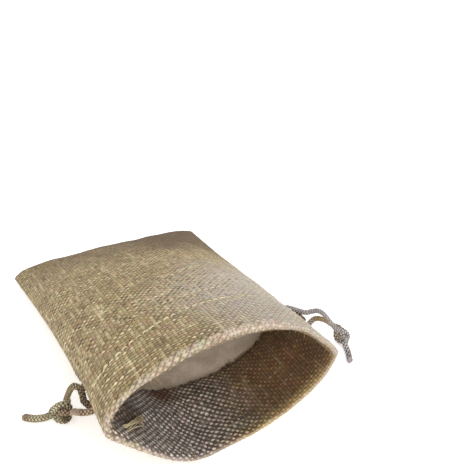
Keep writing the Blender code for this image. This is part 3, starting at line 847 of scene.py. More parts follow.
    def beside_seam(self, side: float, from_lip: float, out: float, up: float) -> Array:
        """A point near a side seam, so far out of the sack and so far up to the front."""
        u, v = np.array(side), np.array(1 - from_lip / self.panel_length)
        h = self.difference
        outward = self.seam_normal(u, v)
        along = self.point(Panel.FRONT, u, v + h) - self.point(Panel.FRONT, u, v - h)
        upward = unit(np.cross(along, outward)) * (1 if side else -1)
        return self.point(Panel.FRONT, u, v) + (outward * out + upward * up) * MM


# --------------------------------------------------------------------------- woven cloth


@dataclass
class WovenPanel:
    """One panel of the cloth with its half of the end fold, the lip and the hem turned inside.

    It is a plain weave in relief, four points to a thread each way.
    """

    form: SackForm
    panel: Panel
    seed: int
    threads_across: int = 76
    fold_threads: int = 3
    body_threads: int = 106
    lip_threads: int = 4
    hem_threads: int = 28
    per_thread: int = 4
    split_thread: int = 60  # where the piece of the mouth starts
    crown: float = 0.13
    yarn_rise: float = 0.24
    yarn_drop: float = 0.8  # share of the rise by which the cloth falls off beside a yarn
    uneven: float = 0.22
    warp_half_width: float = 0.42
    weft_half_width: float = 0.34
    lean: float = 0.1
    wander: float = 0.15
    dents: tuple[float, float] = (0.42, 0.20)  # wide, narrow
    puff: float = 1.15
    valley: float = 0.55
    stitch_dent: float = 0.28
    slit_dent: float = 0.9

    def steps(self, first: int, last: int) -> Array:
        """Places along the map from one thread to another."""
        return np.linspace(first, last, (last - first) * self.per_thread + 1)

    def surface(self) -> None:
        """Works out middle points, outward directions and thread numbers for the whole panel."""
        form, panel = self.form, self.panel
        radius, long = form.lip_radius, form.panel_length
        self.across = self.steps(0, self.threads_across)
        u = self.across / self.threads_across
        bands = []  # (middle points, outward directions, threads along, distances from the lip)

        # the end fold, from halfway round it to the panel
        along = self.steps(-self.fold_threads, 0)
        turn = np.linspace(math.pi / 2, 0.0, len(along))[:-1, None, None]
        here, there = form.point(panel, u, 0.0 * u), form.point(panel.other, u, 0.0 * u)
        normal, away = form.outward(panel, u, 0.0 * u), np.array([0.0, 1.0, 0.0])
        half = (here - there) / 2
        bulge = np.linalg.norm(half, axis=-1, keepdims=True)
        middles = (here + there) / 2 + half * np.cos(turn) + away * bulge * np.sin(turn)
        outs = unit(normal * np.cos(turn) + away * np.sin(turn))
        bands.append((middles, outs, along[:-1], np.full(middles.shape[:2], long)))

        along = self.steps(0, self.body_threads)
        body = np.linspace(long, radius, len(along))[:, None] + 0 * u
        v = 1 - body / long
        bands.append((form.point(panel, u, v), form.outward(panel, u, v), along, body))

        # round the lip
        along = self.steps(self.body_threads, self.body_threads + self.lip_threads)
        turn = np.linspace(0.0, math.pi, len(along))[1:, None] + 0 * u
        lip = radius * (1 - np.sin(turn))
        v = 1 - lip / long
        normal = form.outward(panel, u, v)
        forward = form.point(panel, u, v) - form.point(panel, u, v - form.difference)
        forward = unit(forward - normal * (forward * normal).sum(-1, keepdims=True))
        middles = form.inside(panel, u, lip, radius * (1 - np.cos(turn)))
        outs = unit(normal * np.cos(turn)[..., None] + forward * np.sin(turn)[..., None])
        bands.append((middles, outs, along[1:], -np.sin(turn) * radius))

        start = self.body_threads + self.lip_threads
        along = self.steps(start, start + self.hem_threads)[1:]
        share = np.linspace(0.0, 1.0, len(along) + 1)[1:, None]
        hem = radius + (form.hem_end(panel, u) + form.beyond_channel - radius) * share
        middles = form.inside(panel, u, hem, form.hem_depth(panel, u, hem))
        bands.append((middles, -form.outward(panel, u, 1 - hem / long), along, -hem))

        # lips: distance from the lip, negative on the hem
        self.middles, self.outs, self.along, self.lips = (np.concatenate(x) for x in zip(*bands))
        self.u = np.broadcast_to(u, self.lips.shape)

    def weave_height(self) -> Array:
        """Height of the yarns over the cloth's face."""
        across, along = self.across[None, :], self.along[:, None]
        i, j = np.floor(across).astype(int), np.floor(along).astype(int)
        side = np.where((i + j) % 2 == 0, 1.0, -1.0)
        a, b = across - i - 0.5, along - j - 0.5
        a, b = a + self.lean * np.sin(2 * np.pi * b), b + self.lean * np.sin(2 * np.pi * a)
        lumps = SoftNoise(self.seed)
        warp_size = 1 + self.uneven * lumps.at(i * 1.0 + 0.5, along * 0.21)
        weft_size = 1 + self.uneven * lumps.at(across * 0.21 + 90, j * 1.0 + 0.5)

        def yarn(place: Array, size: Array, half_width: float) -> Array:
            """Section of a yarn: round on top, and falling off beside it."""
            width = half_width * np.clip(size, 0.8, 1.12)
            near = np.sqrt(np.clip(1 - (place / width) ** 2, 0.0, None))
            beyond = np.clip((np.abs(place) - width) / (0.5 - 0.8 * width), 0.0, 1.0)
            return self.yarn_rise * (near * size - self.yarn_drop * beyond)

        warp = self.crown * side * np.cos(np.pi * b) + yarn(a, warp_size, self.warp_half_width)
        weft = -self.crown * side * np.cos(np.pi * a) + yarn(b, weft_size, self.weft_half_width)
        return np.maximum(warp, weft)

    def slit_clearance(self) -> Array:
        """Distance from the slits beside the side seams; below 0 inside one."""
        form = self.form
        reach = form.slit_reach[self.panel is Panel.BACK]
        start, end = (np.where(self.u < 0.5, *x) for x in (form.channel_starts, form.channel_ends))
        middle, half = (start + end) / 2, (end - start) / 2
        share = np.abs(self.lips - middle) / half
        lens = reach * np.sqrt(np.clip(1 - share**6, 0.0, None))
        beyond, near = np.clip(share - 1, 0.0, None) * half, form.from_seam(self.u)
        return np.where(share < 1, near - lens, np.hypot(near, beyond))

    def relief(self) -> Array:
        """Height over the cloth's face of weave, dents, seams and stitch lines."""
        form = self.form
        x, y = self.u * form.panel_width, self.lips
        free = np.clip(form.from_seam(self.u) / 8, 0.0, 1.0)
        dents, (wide, narrow) = SoftNoise(self.seed + 1), self.dents
        rough = wide * dents.at(x / 15, y / 17) + narrow * dents.at(x / 6.5 + 60, y / 7.5)
        if self.panel is Panel.BACK:  # pressed flat by the floor
            rough = rough * 0.3 - 0.1
        height = self.weave_height() - self.crown - self.yarn_rise + rough * free
        if self.panel is Panel.FRONT:  # the closed end puffs up, most on the left
            to_left = np.clip((0.72 - self.u) / 0.5, 0.0, 1.0) * np.clip(self.u / 0.05, 0.0, 1.0)
            height = height + self.puff * np.exp(-(((form.panel_length - y) / 9) ** 2)) * to_left
        outer = self.along[:, None] < self.body_threads
        valley = self.valley * np.exp(-((form.from_seam(self.u) / 0.8) ** 2))
        height = height - np.where(outer, valley, 0.2 * valley)
        for line in (form.channel_start(self.panel, self.u), form.channel_end(self.panel, self.u)):
            dent = self.stitch_dent * np.exp(-(((y - line) / 0.8) ** 2))
            height = height - np.where(outer, dent, 0.0)
        clear = self.slit_clearance()
        dent = self.slit_dent * np.clip(1 - clear / 1.1, 0.0, 1.0) ** 2
        return height - np.where(outer & (clear > 0), dent, 0.0)

    def wandered(self, points: Array) -> Array:
        """The points moved along the cloth, as the yarns lie not quite straight."""
        noise = SoftNoise(self.seed + 2).at
        across, along = self.across[None, :], self.along[:, None]
        step_u = unit(np.gradient(self.middles, axis=1))
        step_v = unit(np.gradient(self.middles, axis=0))
        free = np.clip(self.form.from_seam(self.u) / 3, 0.0, 1.0)
        by_u = noise(across, along * 0.28) + 0.9 * noise(across / 7 + 80, along / 9)
        by_v = noise(across * 0.28 + 130, along) + 0.9 * noise(across / 9 + 30, along / 7)
        by_u, by_v = self.wander * by_u * free, self.wander * by_v
        edge = 0.45 * noise(across / 4.5, 0.0) + 0.2 * noise(across / 1.6, 60.0)
        by_v = by_v + edge * np.exp(-np.abs(self.lips) / 5)
        # the last thread of the hem is cut raggedly, and the end fold stays closed
        ragged = 0.9 * noise(across / 1.1, 90.0) + 0.5 * noise(across / 6, 30.0)
        past = along - self.along[-1] + 1
        by_v = np.where(past > 0, by_v + ragged * past, by_v)
        by_v = np.where(along < 1, 0, by_v)
        return points + (step_u * by_u[..., None] + step_v * by_v[..., None]) * MM

    def build(self, finish: Material) -> None:
        """Builds the panel in two pieces, the closed end and the mouth."""
        self.surface()
        offset = (self.form.cloth / 2 + self.relief())[..., None] * MM
        self.points = off_floor(self.wandered(self.middles + self.outs * offset), 0.02 * MM)
        uv = pairs(self.across[None, :], self.along[:, None])
        cut = self.slit_clearance() < 0
        cut = cut[:-1, :-1] & cut[1:, 1:] & cut[:-1, 1:] & cut[1:, :-1]
        split = int(np.searchsorted(self.along, self.split_thread))
        back, side = self.panel is Panel.BACK, self.panel.value
        for part, rows in (("end", slice(0, split + 1)), ("mouth", slice(split, len(self.along)))):
            parts = MeshParts()
            if back and part == "end":  # it lies on the floor: two points to a thread do
                parts.grid(self.points[rows][::2, ::2], uv[rows][::2, ::2])
            else:
                parts.grid(self.points[rows], uv[rows], ~cut[rows.start : rows.stop - 1], not back)
            piece = parts.build(f"{side}_cloth_{part}", finish, "burlap", ("sack_cloth",), "weave")


@dataclass
class LoosePieces:
    """Stitches along the channel, frayed and pulled threads, and stray hairs."""

    form: SackForm
    panels: dict[Panel, WovenPanel]
    seed: int = 11
    stitch: float = 1.9
    stitch_gap: float = 0.8
    stitch_radius: float = 0.24
    stitch_lift: tuple = (-0.5, 0.02, 0.08, 0.08, 0.02, -0.5)
    pulled_threads: int = 17
    pulled_radius: float = 0.125
    hairs_a_panel: int = 640
    hairs_at_lip: int = 340

    def stitches(self, parts: MeshParts, rng: np.random.Generator) -> None:
        """Two rows of lockstitch on each panel, above and below the drawstrings."""
        for panel in Panel:
            for edge, thick in ((self.form.channel_start, 1.0), (self.form.channel_end, 0.62)):
                u = np.linspace(0.045, 0.955, 500)
                v = 1 - edge(panel, u) / self.form.panel_length
                path, out = self.form.point(panel, u, v), self.form.outward(panel, u, v)
                along = lengths_along(path) / MM
                start = 0.0
                while start < along[-1] - self.stitch:
                    at = start + np.linspace(0.0, self.stitch, 6) * rng.uniform(0.9, 1.1)
                    share = start / along[-1]
                    radius = self.stitch_radius * thick * (1.0 if 0.12 < share < 0.6 else 0.7)
                    lift = 0.42 + np.array(self.stitch_lift)[:, None] * thick
                    row = at_lengths(at, along, path) + at_lengths(at, along, out) * lift * MM
                    parts.tube(off_floor(row, radius * MM), radius * MM, 6, start)
                    start += self.stitch + self.stitch_gap

    def frayed_ends(self, parts: MeshParts, rng: np.random.Generator) -> None:
        """Cut warp ends that stick out beyond the raw edge of the hem."""
        t = np.linspace(0.0, 1.0, 6)[:, None]
        for woven in self.panels.values():
            per = woven.per_thread
            edge, inner, outs = woven.points[-1], woven.points[-1 - per], woven.outs[-1]
            for thread in range(1, woven.threads_across):
                at = thread * per + per // 2
                onward, out = unit(edge[at] - inner[at]), outs[at]
                sideways = unit(np.cross(onward, out))
                long = rng.uniform(0.5, 2.2) if rng.uniform() < 0.85 else rng.uniform(2.2, 5.5)
                lean, drop = rng.normal(0, 0.35), rng.uniform(-0.25, 0.02)
                bend = sideways * lean * long + out * drop * min(long, 2.0)
                line = edge[at] + (onward * (t * long - 0.5) - out * 0.25 + bend * t**2) * MM
                parts.tube(line, 0.3 * MM * (1 - 0.6 * t[:, 0]), 5)

    def pulled(self, parts: MeshParts, rng: np.random.Generator) -> None:
        """Pulled threads that bridge the left corner of the mouth."""
        t = np.linspace(0.0, 1.0, 12)
        for _ in range(self.pulled_threads):
            # at the upper end, then at the lower end
            u = np.interp(t, (0, 1), (rng.normal(0.150, 0.020), rng.normal(0.066, 0.010)))
            from_lip = np.interp(t, (0, 1), (rng.normal(12.6, 1.7), rng.normal(4.6, 0.8)))
            lift = 0.70 + rng.uniform(0.1, 1.3) * np.sin(math.pi * t) ** 0.8
            depth = self.form.hem_depth(Panel.BACK, u, from_lip) + lift
            line = smooth_line(self.form.inside(Panel.BACK, u, from_lip, depth), 0.5 * MM)
            radius = self.pulled_radius * rng.uniform(0.7, 1.2) * MM
            parts.tube(line, radius, 5, rng.uniform(0, 40))

    def hairs(self, parts: MeshParts, rng: np.random.Generator) -> None:
        """Fine hairs that stand off the cloth, thickest at the lip."""
        t = np.linspace(0.0, 1.0, 5)[:, None]
        for woven in self.panels.values():
            rows, columns = woven.points.shape[:2]
            lip_row = (woven.fold_threads + woven.body_threads) * woven.per_thread
            for n in range(self.hairs_a_panel):
                if n < self.hairs_at_lip:
                    row = int(np.clip(rng.normal(lip_row + 6, 9), 4, rows - 5))
                else:
                    row = int(rng.integers(8, rows - 8))
                column = int(rng.integers(5, columns - 5))
                foot, out = woven.points[row, column], woven.outs[row, column]
                if foot[2] < 0.6 * MM and out[2] < 0:  # under the sack
                    continue
                drift, long = rng.normal(0, 1, 3), rng.uniform(0.7, 2.4)
                aim = (out + drift) * 0.45 * t + rng.normal(0, 0.3, 3) * t**2
                line = foot - out * 0.2 * MM + aim * long * MM
                parts.tube(off_floor(line, 0.1 * MM), 0.055 * MM * (1.05 - t[:, 0]), 3)

    def build(self, sewing: Material, frayed: Material, pulled: Material) -> None:
        """Builds all the loose pieces."""
        # (name, what adds its threads, seed, finish)
        pieces = (
            ("channel_stitching", self.stitches, self.seed, sewing),
            ("hem_frayed_ends", self.frayed_ends, self.seed + 1, frayed),
            ("corner_frayed_threads", self.pulled, self.seed + 3, pulled),
            ("burlap_hairs", self.hairs, self.seed + 2, frayed),
        )
        for name, add_threads, seed, finish in pieces:
            parts = MeshParts()
            add_threads(parts, np.random.default_rng(seed))
            parts.build(name, finish, "burlap", ("sack_cloth",))


# --------------------------------------------------------------------------- lining


@dataclass
class Lining:
    """The thin pocket inside the sack, tucked under the raw edge of the hem."""

    form: SackForm
    columns: int = 80
    rows: int = 80
    depth: float = 1.75
    open_needed: float = 5.0
    start: float = 0.055
    tuck: float = 1.9
    least_tuck: float = -0.6
    untucked: float = 10.0
    crumples: tuple[float, float] = (0.45, 0.14)  # wide, narrow

    def side_reach(self, v: Array) -> list[Array]:
        """Shares across where the sack is open enough for the lining's side folds."""
        edges = []
        for side in (0.0, 1.0):
            trial = np.abs(side - np.arange(1, 240) / 480)
            front, back = (self.form.point(panel, trial[None, :], v[:, None]) for panel in Panel)
            wide = np.linalg.norm(front - back, axis=-1) >= self.open_needed * MM
            edges.append(trial[np.where(wide.any(1), wide.argmax(1), len(trial) - 1)])
        return edges

    def build(self, finish: Material) -> None:
        """Builds the lining."""
        form = self.form
        share = np.linspace(0.0, 1.0, self.rows)
        across = np.linspace(0.0, 1.0, self.columns)[None, :]
        middle = 1 - float(form.channel_end(Panel.FRONT, 0.5)) / form.panel_length
        left, right = self.side_reach(self.start + (middle - self.start) * share)
        u = left[:, None] + (right - left)[:, None] * across
        tuck = np.minimum(self.tuck, (form.from_seam(u) - self.untucked) / 2)
        start = form.panel_length * (1 - self.start)
        noise, (wide, narrow), halves = SoftNoise(31).at, self.crumples, []
        for panel in Panel:
            edge = form.hem_end(panel, u) + form.beyond_channel - np.maximum(tuck, self.least_tuck)
            from_lip = start + (edge - start) * share[:, None]
            x, y = u * form.panel_width, from_lip
            ripple = wide * noise(x / 13, y / 9 + 20 * (panel is Panel.BACK))
            ripple = ripple + narrow * noise(x / 5, y / 4)
            ripple = ripple * np.sin(math.pi * across) ** 0.5
            halves.append(form.inside(panel, u, from_lip, self.depth + np.maximum(ripple, -0.2)))
        front, back = halves
        ring = np.concatenate([front, back[:, ::-1], front[:, :1]], axis=1)
        parts = MeshParts()
        rows, columns = np.arange(self.rows) * 1.0, np.arange(ring.shape[1]) * 1.0
        parts.grid(ring, pairs(columns[None, :], rows[:, None]))
        parts.grid(np.stack([front[0], back[0]]), np.zeros((2, self.columns, 2)))
        piece = parts.build("lining_pocket", finish, "lining", ("lining",))
        wide = float(lengths_along(ring[self.rows // 2])[-1])


# --------------------------------------------------------------------------- drawstrings

VIEW = (-29.16, 29.53)  # azimuth and elevation of the photograph, degrees

# (out of the sack, up to the front, along the sack), from the channel to the open
SLIT_PASSAGE = {
    Panel.FRONT: ((-2.6, 1.0, -0.2), (-1.4, 0.15, 0.0), (0.0, 0.05, 0.6), (1.3, 0.05, 2.0)),
    Panel.BACK: ((-3.0, -1.65, -0.2), (-1.6, -1.2, 0.0), (-0.2, -1.05, 0.6), (1.3, -1.0, 2.0)),
}
LEAN_RISE = 0.5
LOOP_OUT = ((0.2, 1.4), (0.5, 2.0), (0.8, 1.4))  # (share of the way round the loop, out)


def view_axes(azimuth: float, elevation: float) -> Array:
    """Right, up and towards the viewer, for a view in degrees."""
    a, e = math.radians(azimuth), math.radians(elevation)
    towards = np.array([math.sin(a) * math.cos(e), -math.cos(a) * math.cos(e), math.sin(e)])
    right = np.array([math.cos(a), math.sin(a), 0.0])
    return np.stack([right, np.cross(towards, right), towards])


def placed(route: tuple) -> Array:
    """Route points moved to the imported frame, in metres."""
    return (np.array(route) - np.array([0.0, MIDDLE_Y, 0.0])) * MM


@dataclass
class Drawstring:
    """A braided cord through both channels, with its ends knotted together outside one slit.

    Plies go round a core, four each way, each over and under the ones it crosses. Routes are in
    the cloth's own frame; the knots' turns are (right, up, towards the viewer) from the knot's
    middle, as the photograph shows them.
    """

    form: SackForm
    name: str
    side: float
    upper_panel: Panel
    lean: float
    upper_route: tuple
    lower_route: tuple
    knot_middle: tuple
    upper_turns: tuple
    lower_turns: tuple
    tail_route: tuple
    tail_swell: float
    upper_length: float
    lower_length: float
    diameter: float = 2.1
    core_share: float = 0.68
    ply_share: float = 0.23
    bed_share: float = 0.76
    weave_share: float = 0.11
    ply_flatness: float = 1.3
    lay_length: float = 4.4
    least_lay: float = 0.4
    plies_each_way: int = 4
    to_edge: float = 1.8
    pitch: float = 2.7
    channel_depth: float = 2.05
    step: float = 0.28
    hug: float = 0.7
    knot_swell: float = 0.16
    cut_fibres: int = 40

    def __post_init__(self) -> None:
        """Works out the radius in metres."""
        self.radius = self.diameter / 2 * MM

    def edge_distance(self, panel: Panel, u: Array) -> Array:
        """Distance of this cord from the lip inside a panel's channel."""
        form, u = self.form, np.asarray(u, float)
        nearest = self.to_edge + self.pitch * (u if self.side == 0 else 1 - u)
        if (panel is Panel.FRONT) == (self.side == 0):
            return form.channel_start(panel, u) + nearest
        return form.channel_end(panel, u) - nearest

    def through_slit(self, panel: Panel, side: float, lean: float = 0.0) -> Array:
        """Points of the passage from a channel to the open."""
        at, points = float(self.edge_distance(panel, side)), []
        for out, up, along in SLIT_PASSAGE[panel]:
            hugged = out - self.hug * lean * (out > -1)
            risen = up + LEAN_RISE * along * lean
            points.append(self.form.beside_seam(side, at - along * lean, hugged, risen))
        return np.array(points)

    def braid(self, parts: MeshParts, line: Array, swell: Array) -> None:
        """Adds the core and the plies along a line; swell scales the cord's thickness."""
        tangents, first, second = frames_along(line)
        parts.tube(line, self.core_share * self.radius * swell, 8, first_number=4.0)
        # the lay is drawn out where the cord runs towards the viewer, so that its plies show
        seen = np.linalg.norm(np.cross(tangents, view_axes(*VIEW)[2]), axis=1)
        steps = np.linalg.norm(np.diff(line, axis=0), axis=1)
        steps = steps * np.clip(seen[1:], self.least_lay, 1.0)
        along = np.concatenate([[0.0], np.cumsum(steps)])
        count = self.plies_each_way
        shares = (self.ply_share, self.bed_share, self.weave_share)
        ply, bed, weave = (share * self.radius for share in shares)
        sides = np.linspace(0.0, 2 * math.pi, 7)
        for way in (1, -1):
            for k in range(count):
                turned = way * 2 * math.pi * along / (self.lay_length * MM)
                angle = (turned + k * 2 * math.pi / count)[:, None]
                reach = (bed + way * weave * np.cos(count * angle)) * swell[:, None]
                outward = first * np.cos(angle) + second * np.sin(angle)
                centre = line + outward * reach
                beside = np.cross(unit(np.gradient(centre, axis=0)), outward)
                ring = around(outward, beside * self.ply_flatness, sides)
                round_it = sides[None] / (2 * math.pi) + (0 if way > 0 else 2)
                # whole numbers of crossings, so that the finish finds where a ply dips under
                shift = 12 * k * self.lay_length
                uv = pairs(round_it, along[:, None] / MM + shift)
                parts.grid(centre[:, None] + ring * (ply * swell)[:, None, None], uv)

    def strand(self, finish: Material, upper: bool) -> None:
        """Builds one free stretch, from its slit through the knot to its end."""
        panel = self.upper_panel if upper else self.upper_panel.other
        route = self.upper_route if upper else self.lower_route
        turns = self.upper_turns if upper else self.lower_turns
        passage = self.through_slit(panel, self.side, self.lean if upper else 0.0)
        knotted = placed((self.knot_middle,)) + np.array(turns) @ view_axes(*VIEW) * MM
        points = [passage, placed(route), knotted] + ([placed(self.tail_route)] if upper else [])
        line = off_floor(smooth_line(np.vstack(points), self.step * MM), self.radius)
        along = lengths_along(line)
        left = (along[-1] - along) / (10 * MM)
        most, reach = (self.tail_swell - 1, 3.4) if upper else (self.knot_swell, 1.1)
        swell = 1 + most * np.clip(reach - left, 0.0, 1.0)
        if upper:
            off_floor(line, self.radius * swell)
        parts = MeshParts()
        self.braid(parts, line, swell)
        if upper:
            self.cut_end(parts, line, self.radius * float(swell[-1]))
        name = f"{self.name}_strand_{'upper' if upper else 'lower'}"
        nodes = ("drawstring", "knot", "tail") if upper else ("drawstring", "knot")
        replaced = tuple(f"{self.name}_{node}" for node in nodes)
        piece = parts.build(name, finish, "cord", replaced)
        LOG.info("%s is %.1f mm long", name, lengths_along(line)[-1] / MM)

    def cut_end(self, parts: MeshParts, line: Array, radius: float) -> None:
        """Adds the rounded end of the cord and the fibres that stick out of it."""
        rng = np.random.default_rng(5 + int(self.side))
        onward = unit(line[-1] - line[-4])
        # (place along the cord's end, share of its radius)
        rounding = ((-0.45, 0.90), (-0.1, 0.97), (0.15, 0.90), (0.34, 0.66), (0.44, 0.34))
        rounding = np.array(rounding) * radius
        parts.tube(line[-1] + onward * rounding[:, :1], rounding[:, 1], 14, plain=True)
        t = np.linspace(-0.6, 1.0, 5)[:, None]
        for _ in range(self.cut_fibres):
            foot = line[-1] + rng.normal(0, 0.42, 3) * MM
            aim = onward + rng.normal(0, 0.22, 3)
            fibre = off_floor(foot + aim * t * rng.uniform(0.2, 0.55) * MM, 0.12 * MM)
            parts.tube(fibre, 0.11 * MM * (1.15 - 0.5 * np.abs(t[:, 0])), 4, plain=True)

    def channel_run(self, finish: Material) -> None:
        """Builds the stretch inside both channels and the loop that shows at the far slit."""
        far = 1.0 - self.side
        upper, lower = self.upper_panel, self.upper_panel.other
        u = np.linspace(0.06, 0.94, 15)
        legs = {
            panel: self.form.inside(panel, u, self.edge_distance(panel, u), self.channel_depth)
            for panel in Panel
        }
        outward = 1 if self.side == 0 else -1
        start, end = (float(self.edge_distance(panel, far)) for panel in (upper, lower))
        low, high = (SLIT_PASSAGE[panel][-1][1] for panel in (upper, lower))
        loop = [
            self.form.beside_seam(far, start + (end - start) * s, out, low + (high - low) * s)
            for s, out in LOOP_OUT
        ]
        points = (
            self.through_slit(upper, self.side, self.lean)[:1],
            legs[upper][::outward],
            self.through_slit(upper, far),
            np.array(loop),
            self.through_slit(lower, far)[::-1],
            legs[lower][::-outward],
            self.through_slit(lower, self.side)[:1],
        )
        line = smooth_line(np.vstack(points), self.step * MM)
        # only what lies near the far slit is braided: the rest is out of sight
        near = (np.abs(line[:, 0]) > 34 * MM) & ((line[:, 0] > 0) == (far > 0.5))
        first, last = int(np.argmax(near)), len(line) - int(np.argmax(near[::-1]))
        parts = MeshParts()
        self.braid(parts, line[first:last], np.ones(last - first))
        for hidden in (line[: first + 4 : 4], line[last - 4 :: 4]):
            parts.tube(hidden, self.radius, 10)
        parts.build(f"{self.name}_channel_run", finish, "cord", (f"{self.name}_drawstring",))


LEFT = {
    "name": "left",
    "side": 0.0,
    "upper_panel": Panel.BACK,
    "lean": 0.0,
    "upper_route": (
        ((-43.3, -35.2, 21.6), (-44.3, -31.6, 17.3), (-45.1, -28.8, 12.8), (-46.0, -27.0, 8.6))
    ),
    "lower_route": (
        ((-44.0, -50.4, 24.6), (-44.6, -46.6, 21.3), (-44.9, -41.6, 16.5), (-45.2, -35.8, 11.2))
    ),
    "knot_middle": (-47.4, -27.2, 3.9),
    "upper_turns": (
        ((1.0, 3.6, -1.0), (0.2, 1.8, -1.7), (-1.4, 0.2, -1.6))
        + ((-2.7, -1.2, -0.8), (-2.6, -2.3, 0.2))
        + ((-1.0, -2.8, 0.7), (0.7, -2.7, 0.7), (1.6, -1.6, 0.5), (1.7, 0.2, 0.1), (1.5, 1.9, 0.4))
        + ((0.2, 2.8, 1.0), (-1.5, 2.5, 1.2), (-3.0, 1.4, 0.9), (-4.2, 0.2, 0.4))
    ),
    "lower_turns": (
        ((3.3, 0.3, 1.3), (1.8, 0.35, 1.9), (0.4, 0.3, 1.8), (-0.7, 0.3, 1.0))
        + ((-1.1, 0.1, -0.1), (-1.3, -1.1, -0.6), (-0.7, -1.8, -0.5), (0.4, -1.7, -0.2))
    ),
    "tail_route": (
        ((-51.2, -24.6, 2.2), (-53.0, -24.3, 1.6), (-55.0, -23.9, 1.5))
        + ((-57.6, -22.7, 1.5), (-60.3, -20.5, 1.5))
    ),
    "tail_swell": 1.22,
    "upper_length": 62.3,
    "lower_length": 45.4,
}
RIGHT = {
    "name": "right",
    "side": 1.0,
    "upper_panel": Panel.FRONT,
    "lean": 1.0,
    "upper_route": (
        ((48.5, -37.2, 18.2), (52.4, -36.8, 16.9), (56.6, -35.9, 15.0))
        + ((60.1, -35.8, 11.8), (62.2, -38.6, 8.2))
    ),
    "lower_route": (
        ((46.8, -44.2, 19.4), (50.9, -41.4, 17.0), (55.2, -39.6, 13.9))
        + ((59.2, -38.6, 10.6), (62.8, -38.4, 7.0))
    ),
    "knot_middle": (64.9, -43.0, 3.3),
    "upper_turns": (
        ((-2.1, 2.8, 0.6), (0.4, 2.5, 1.2), (2.3, 0.4, 0.8), (1.6, -1.7, 0.3), (-0.6, -2.1, -0.3))
        + ((-2.1, -0.6, -0.3), (-1.6, 1.2, 0.4), (0.2, 0.7, 1.4), (1.7, -1.3, 1.2))
    ),
    "lower_turns": (
        ((-0.5, 3.3, -0.6), (-2.4, 1.4, 0.2), (-1.6, -0.9, 0.9), (0.1, -1.2, 0.3), (0.3, 0.3, -0.7))
    ),
    "tail_route": (
        ((63.9, -46.6, 2.0), (63.4, -48.2, 1.6), (62.7, -50.0, 1.4))
        + ((61.4, -52.3, 1.4), (59.8, -54.7, 1.4))
    ),
    "tail_swell": 1.14,
    "upper_length": 64.0,
    "lower_length": 42.8,
}

OLIVE_STAINS_AND_SHADE = (
    # the first two are painted shade in the hollow of the knot; the others change the cord's tone
    Tint("#6b4a2c", (-47.9, -29.6, 6.0), 2.0, 0.80),
    Tint("#7d5f3f", (-47.4, -31.8, 2.7), 2.3, 0.80),
    Tint("#d8c3b0", (-46.3, -34.0, 18.0), 12.0, 0.70),
    Tint("#bfa793", (-60.3, -22.6, 1.5), 3.6, 0.70),
)
GREY_STAINS_AND_SHADE = (
    # the first is painted shade in the hollow of the knot
    Tint("#5a4634", (65.7, -46.1, 4.3), 2.0, 0.85),
    Tint("#d9b860", (63.4, -45.2, 4.2), 1.6, 0.80),
)
STRAW_STAINS = (Tint("#d6bd74", (51.5, -43.2, 16.5), 9.0, 0.90),)
# (route, upper strand, lower strand)
CORDS = (
    (
        LEFT,
        YarnFinish(
            "braided olive jute cord", "#ccc4a6", "#857a60", core="#43381f", stains_and_shade=OLIVE_STAINS_AND_SHADE
        ),
        YarnFinish("braided rosy jute cord", "#c6ae96", "#7c6650", core="#463424"),
    ),
    (
        RIGHT,
        YarnFinish(
            "braided grey linen cord", "#d2ccc9", "#918a8a", core="#575250", stains_and_shade=GREY_STAINS_AND_SHADE
        ),
        YarnFinish(
            "braided straw linen cord", "#cbc0b0", "#8c8071", core="#40352a", stains_and_shade=STRAW_STAINS
        ),
    ),
)
# the loops at the far slits and the runs in the channels, darkened as painted shade
SHADED_CORD = YarnFinish("braided cord, darkened with painted shade", "#a8916f", "#5e4a33", core="#2c2013")
SEWING = YarnFinish("waxed linen sewing thread", "#e4dbbd", "#b9a982", streak=0.3)
FRAYED = YarnFinish("frayed jute yarn", "#d9c79a", "#8f7442")
PULLED = YarnFinish("pulled pale jute thread", "#e2d4ad", "#8f7c55")


# --------------------------------------------------------------------------- studio


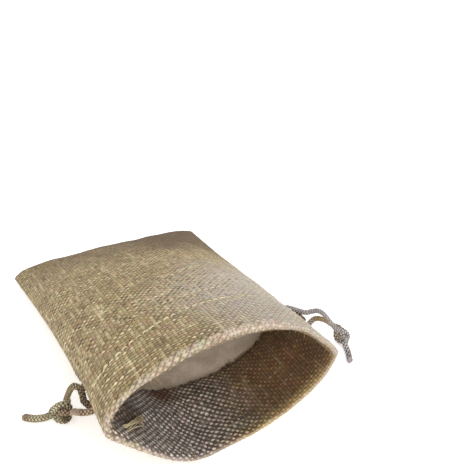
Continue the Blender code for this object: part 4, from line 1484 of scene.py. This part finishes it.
@dataclass
class Studio:
    """Pale floor, soft light and the camera of the photograph; lamps are in metres."""

    floor_side: float = 12.0
    floor_glow: float = 0.35
    camera_place: tuple = (-57.81, -170.165, 149.42)
    lens: float = 40.02
    # (name, place, watts, side, colour)
    lamps: tuple = (
        ("soft_key", (-0.12, -0.95, 0.62), 7.0, 0.9, "#fffaf4"),
        ("soft_top", (0.25, 0.30, 1.00), 2.0, 0.9, "#fbfbff"),
    )

    def add(self, name: str, data: bpy.types.ID, place: Vector, turn: tuple = (0, 0, 0)) -> Thing:
        """Adds an object to the scene and returns it."""
        made = bpy.data.objects.new(name, data)
        made.location, made.rotation_euler = place, turn
        bpy.context.scene.collection.objects.link(made)
        return made

    def camera(self) -> None:
        """Sets the camera where the photograph was taken from."""
        data = bpy.data.cameras.new("studio_camera")
        data.sensor_width, data.lens, data.clip_start = 36.0, self.lens, 0.01
        azimuth, elevation = (math.radians(angle) for angle in VIEW)
        turn = (math.pi / 2 - elevation, 0.0, azimuth)
        place = Vector(self.camera_place) * MM
        bpy.context.scene.camera = self.add("studio_camera", data, place, turn)

    def floor(self) -> None:
        """Lays the floor."""
        graph = ShaderGraph("matt studio paper")
        grain = graph.noise(graph.place, 90.0, 3.0)
        material = graph.finish(
            graph.mix(grain, "#f6f5f3", "#faf9f8"),
            Roughness=0.95,
            Specular_IOR_Level=0.1,
            Emission_Color=linear("#ffffff"),
            Emission_Strength=self.floor_glow,
        )
        half = self.floor_side / 2
        corners = [(-half, -half, 0), (half, -half, 0), (half, half, 0), (-half, half, 0)]
        mesh = bpy.data.meshes.new("floor")
        mesh.from_pydata(corners, [], [(0, 1, 2, 3)])
        mesh.materials.append(material)
        self.add("floor", mesh, Vector())

    def lights(self) -> None:
        """Sets a white sky and two large soft lights."""
        world = bpy.data.worlds.new("studio_sky")
        bpy.context.scene.world = world
        world.use_nodes = True
        sky = world.node_tree.nodes["Background"]
        sky.inputs["Color"].default_value = linear("#ffffff")
        sky.inputs["Strength"].default_value = 1.0
        for name, place, watts, side, colour in self.lamps:
            data = bpy.data.lights.new(name, "AREA")
            data.energy, data.size, data.color = watts, side, linear(colour)[:3]
            towards = (-Vector(place)).to_track_quat("-Z", "Y").to_euler()
            self.add(name, data, Vector(place), towards)

    def build(self) -> None:
        """Builds the whole studio."""
        self.camera()
        self.floor()
        self.lights()
        bpy.context.scene.view_settings.view_transform = "Standard"


def main() -> None:
    """Builds the scene and logs how many quads each piece has and how long each strand is."""
    logging.basicConfig(level=logging.INFO, format="%(message)s")
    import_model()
    Studio().build()
    form = SackForm()
    burlap, shaded_cord = BurlapFinish().build(), SHADED_CORD.build()
    for route, upper, lower in CORDS:
        string = Drawstring(form, **route)
        string.strand(upper.build(), upper=True)
        string.strand(lower.build(), upper=False)
        string.channel_run(shaded_cord)
    panels = {panel: WovenPanel(form, panel, seed=7 + 10 * n) for n, panel in enumerate(Panel)}
    for woven in panels.values():
        woven.build(burlap)
    LoosePieces(form, panels).build(SEWING.build(), FRAYED.build(), PULLED.build())
    Lining(form).build(LiningFinish().build())


if __name__ == "__main__":
    main()
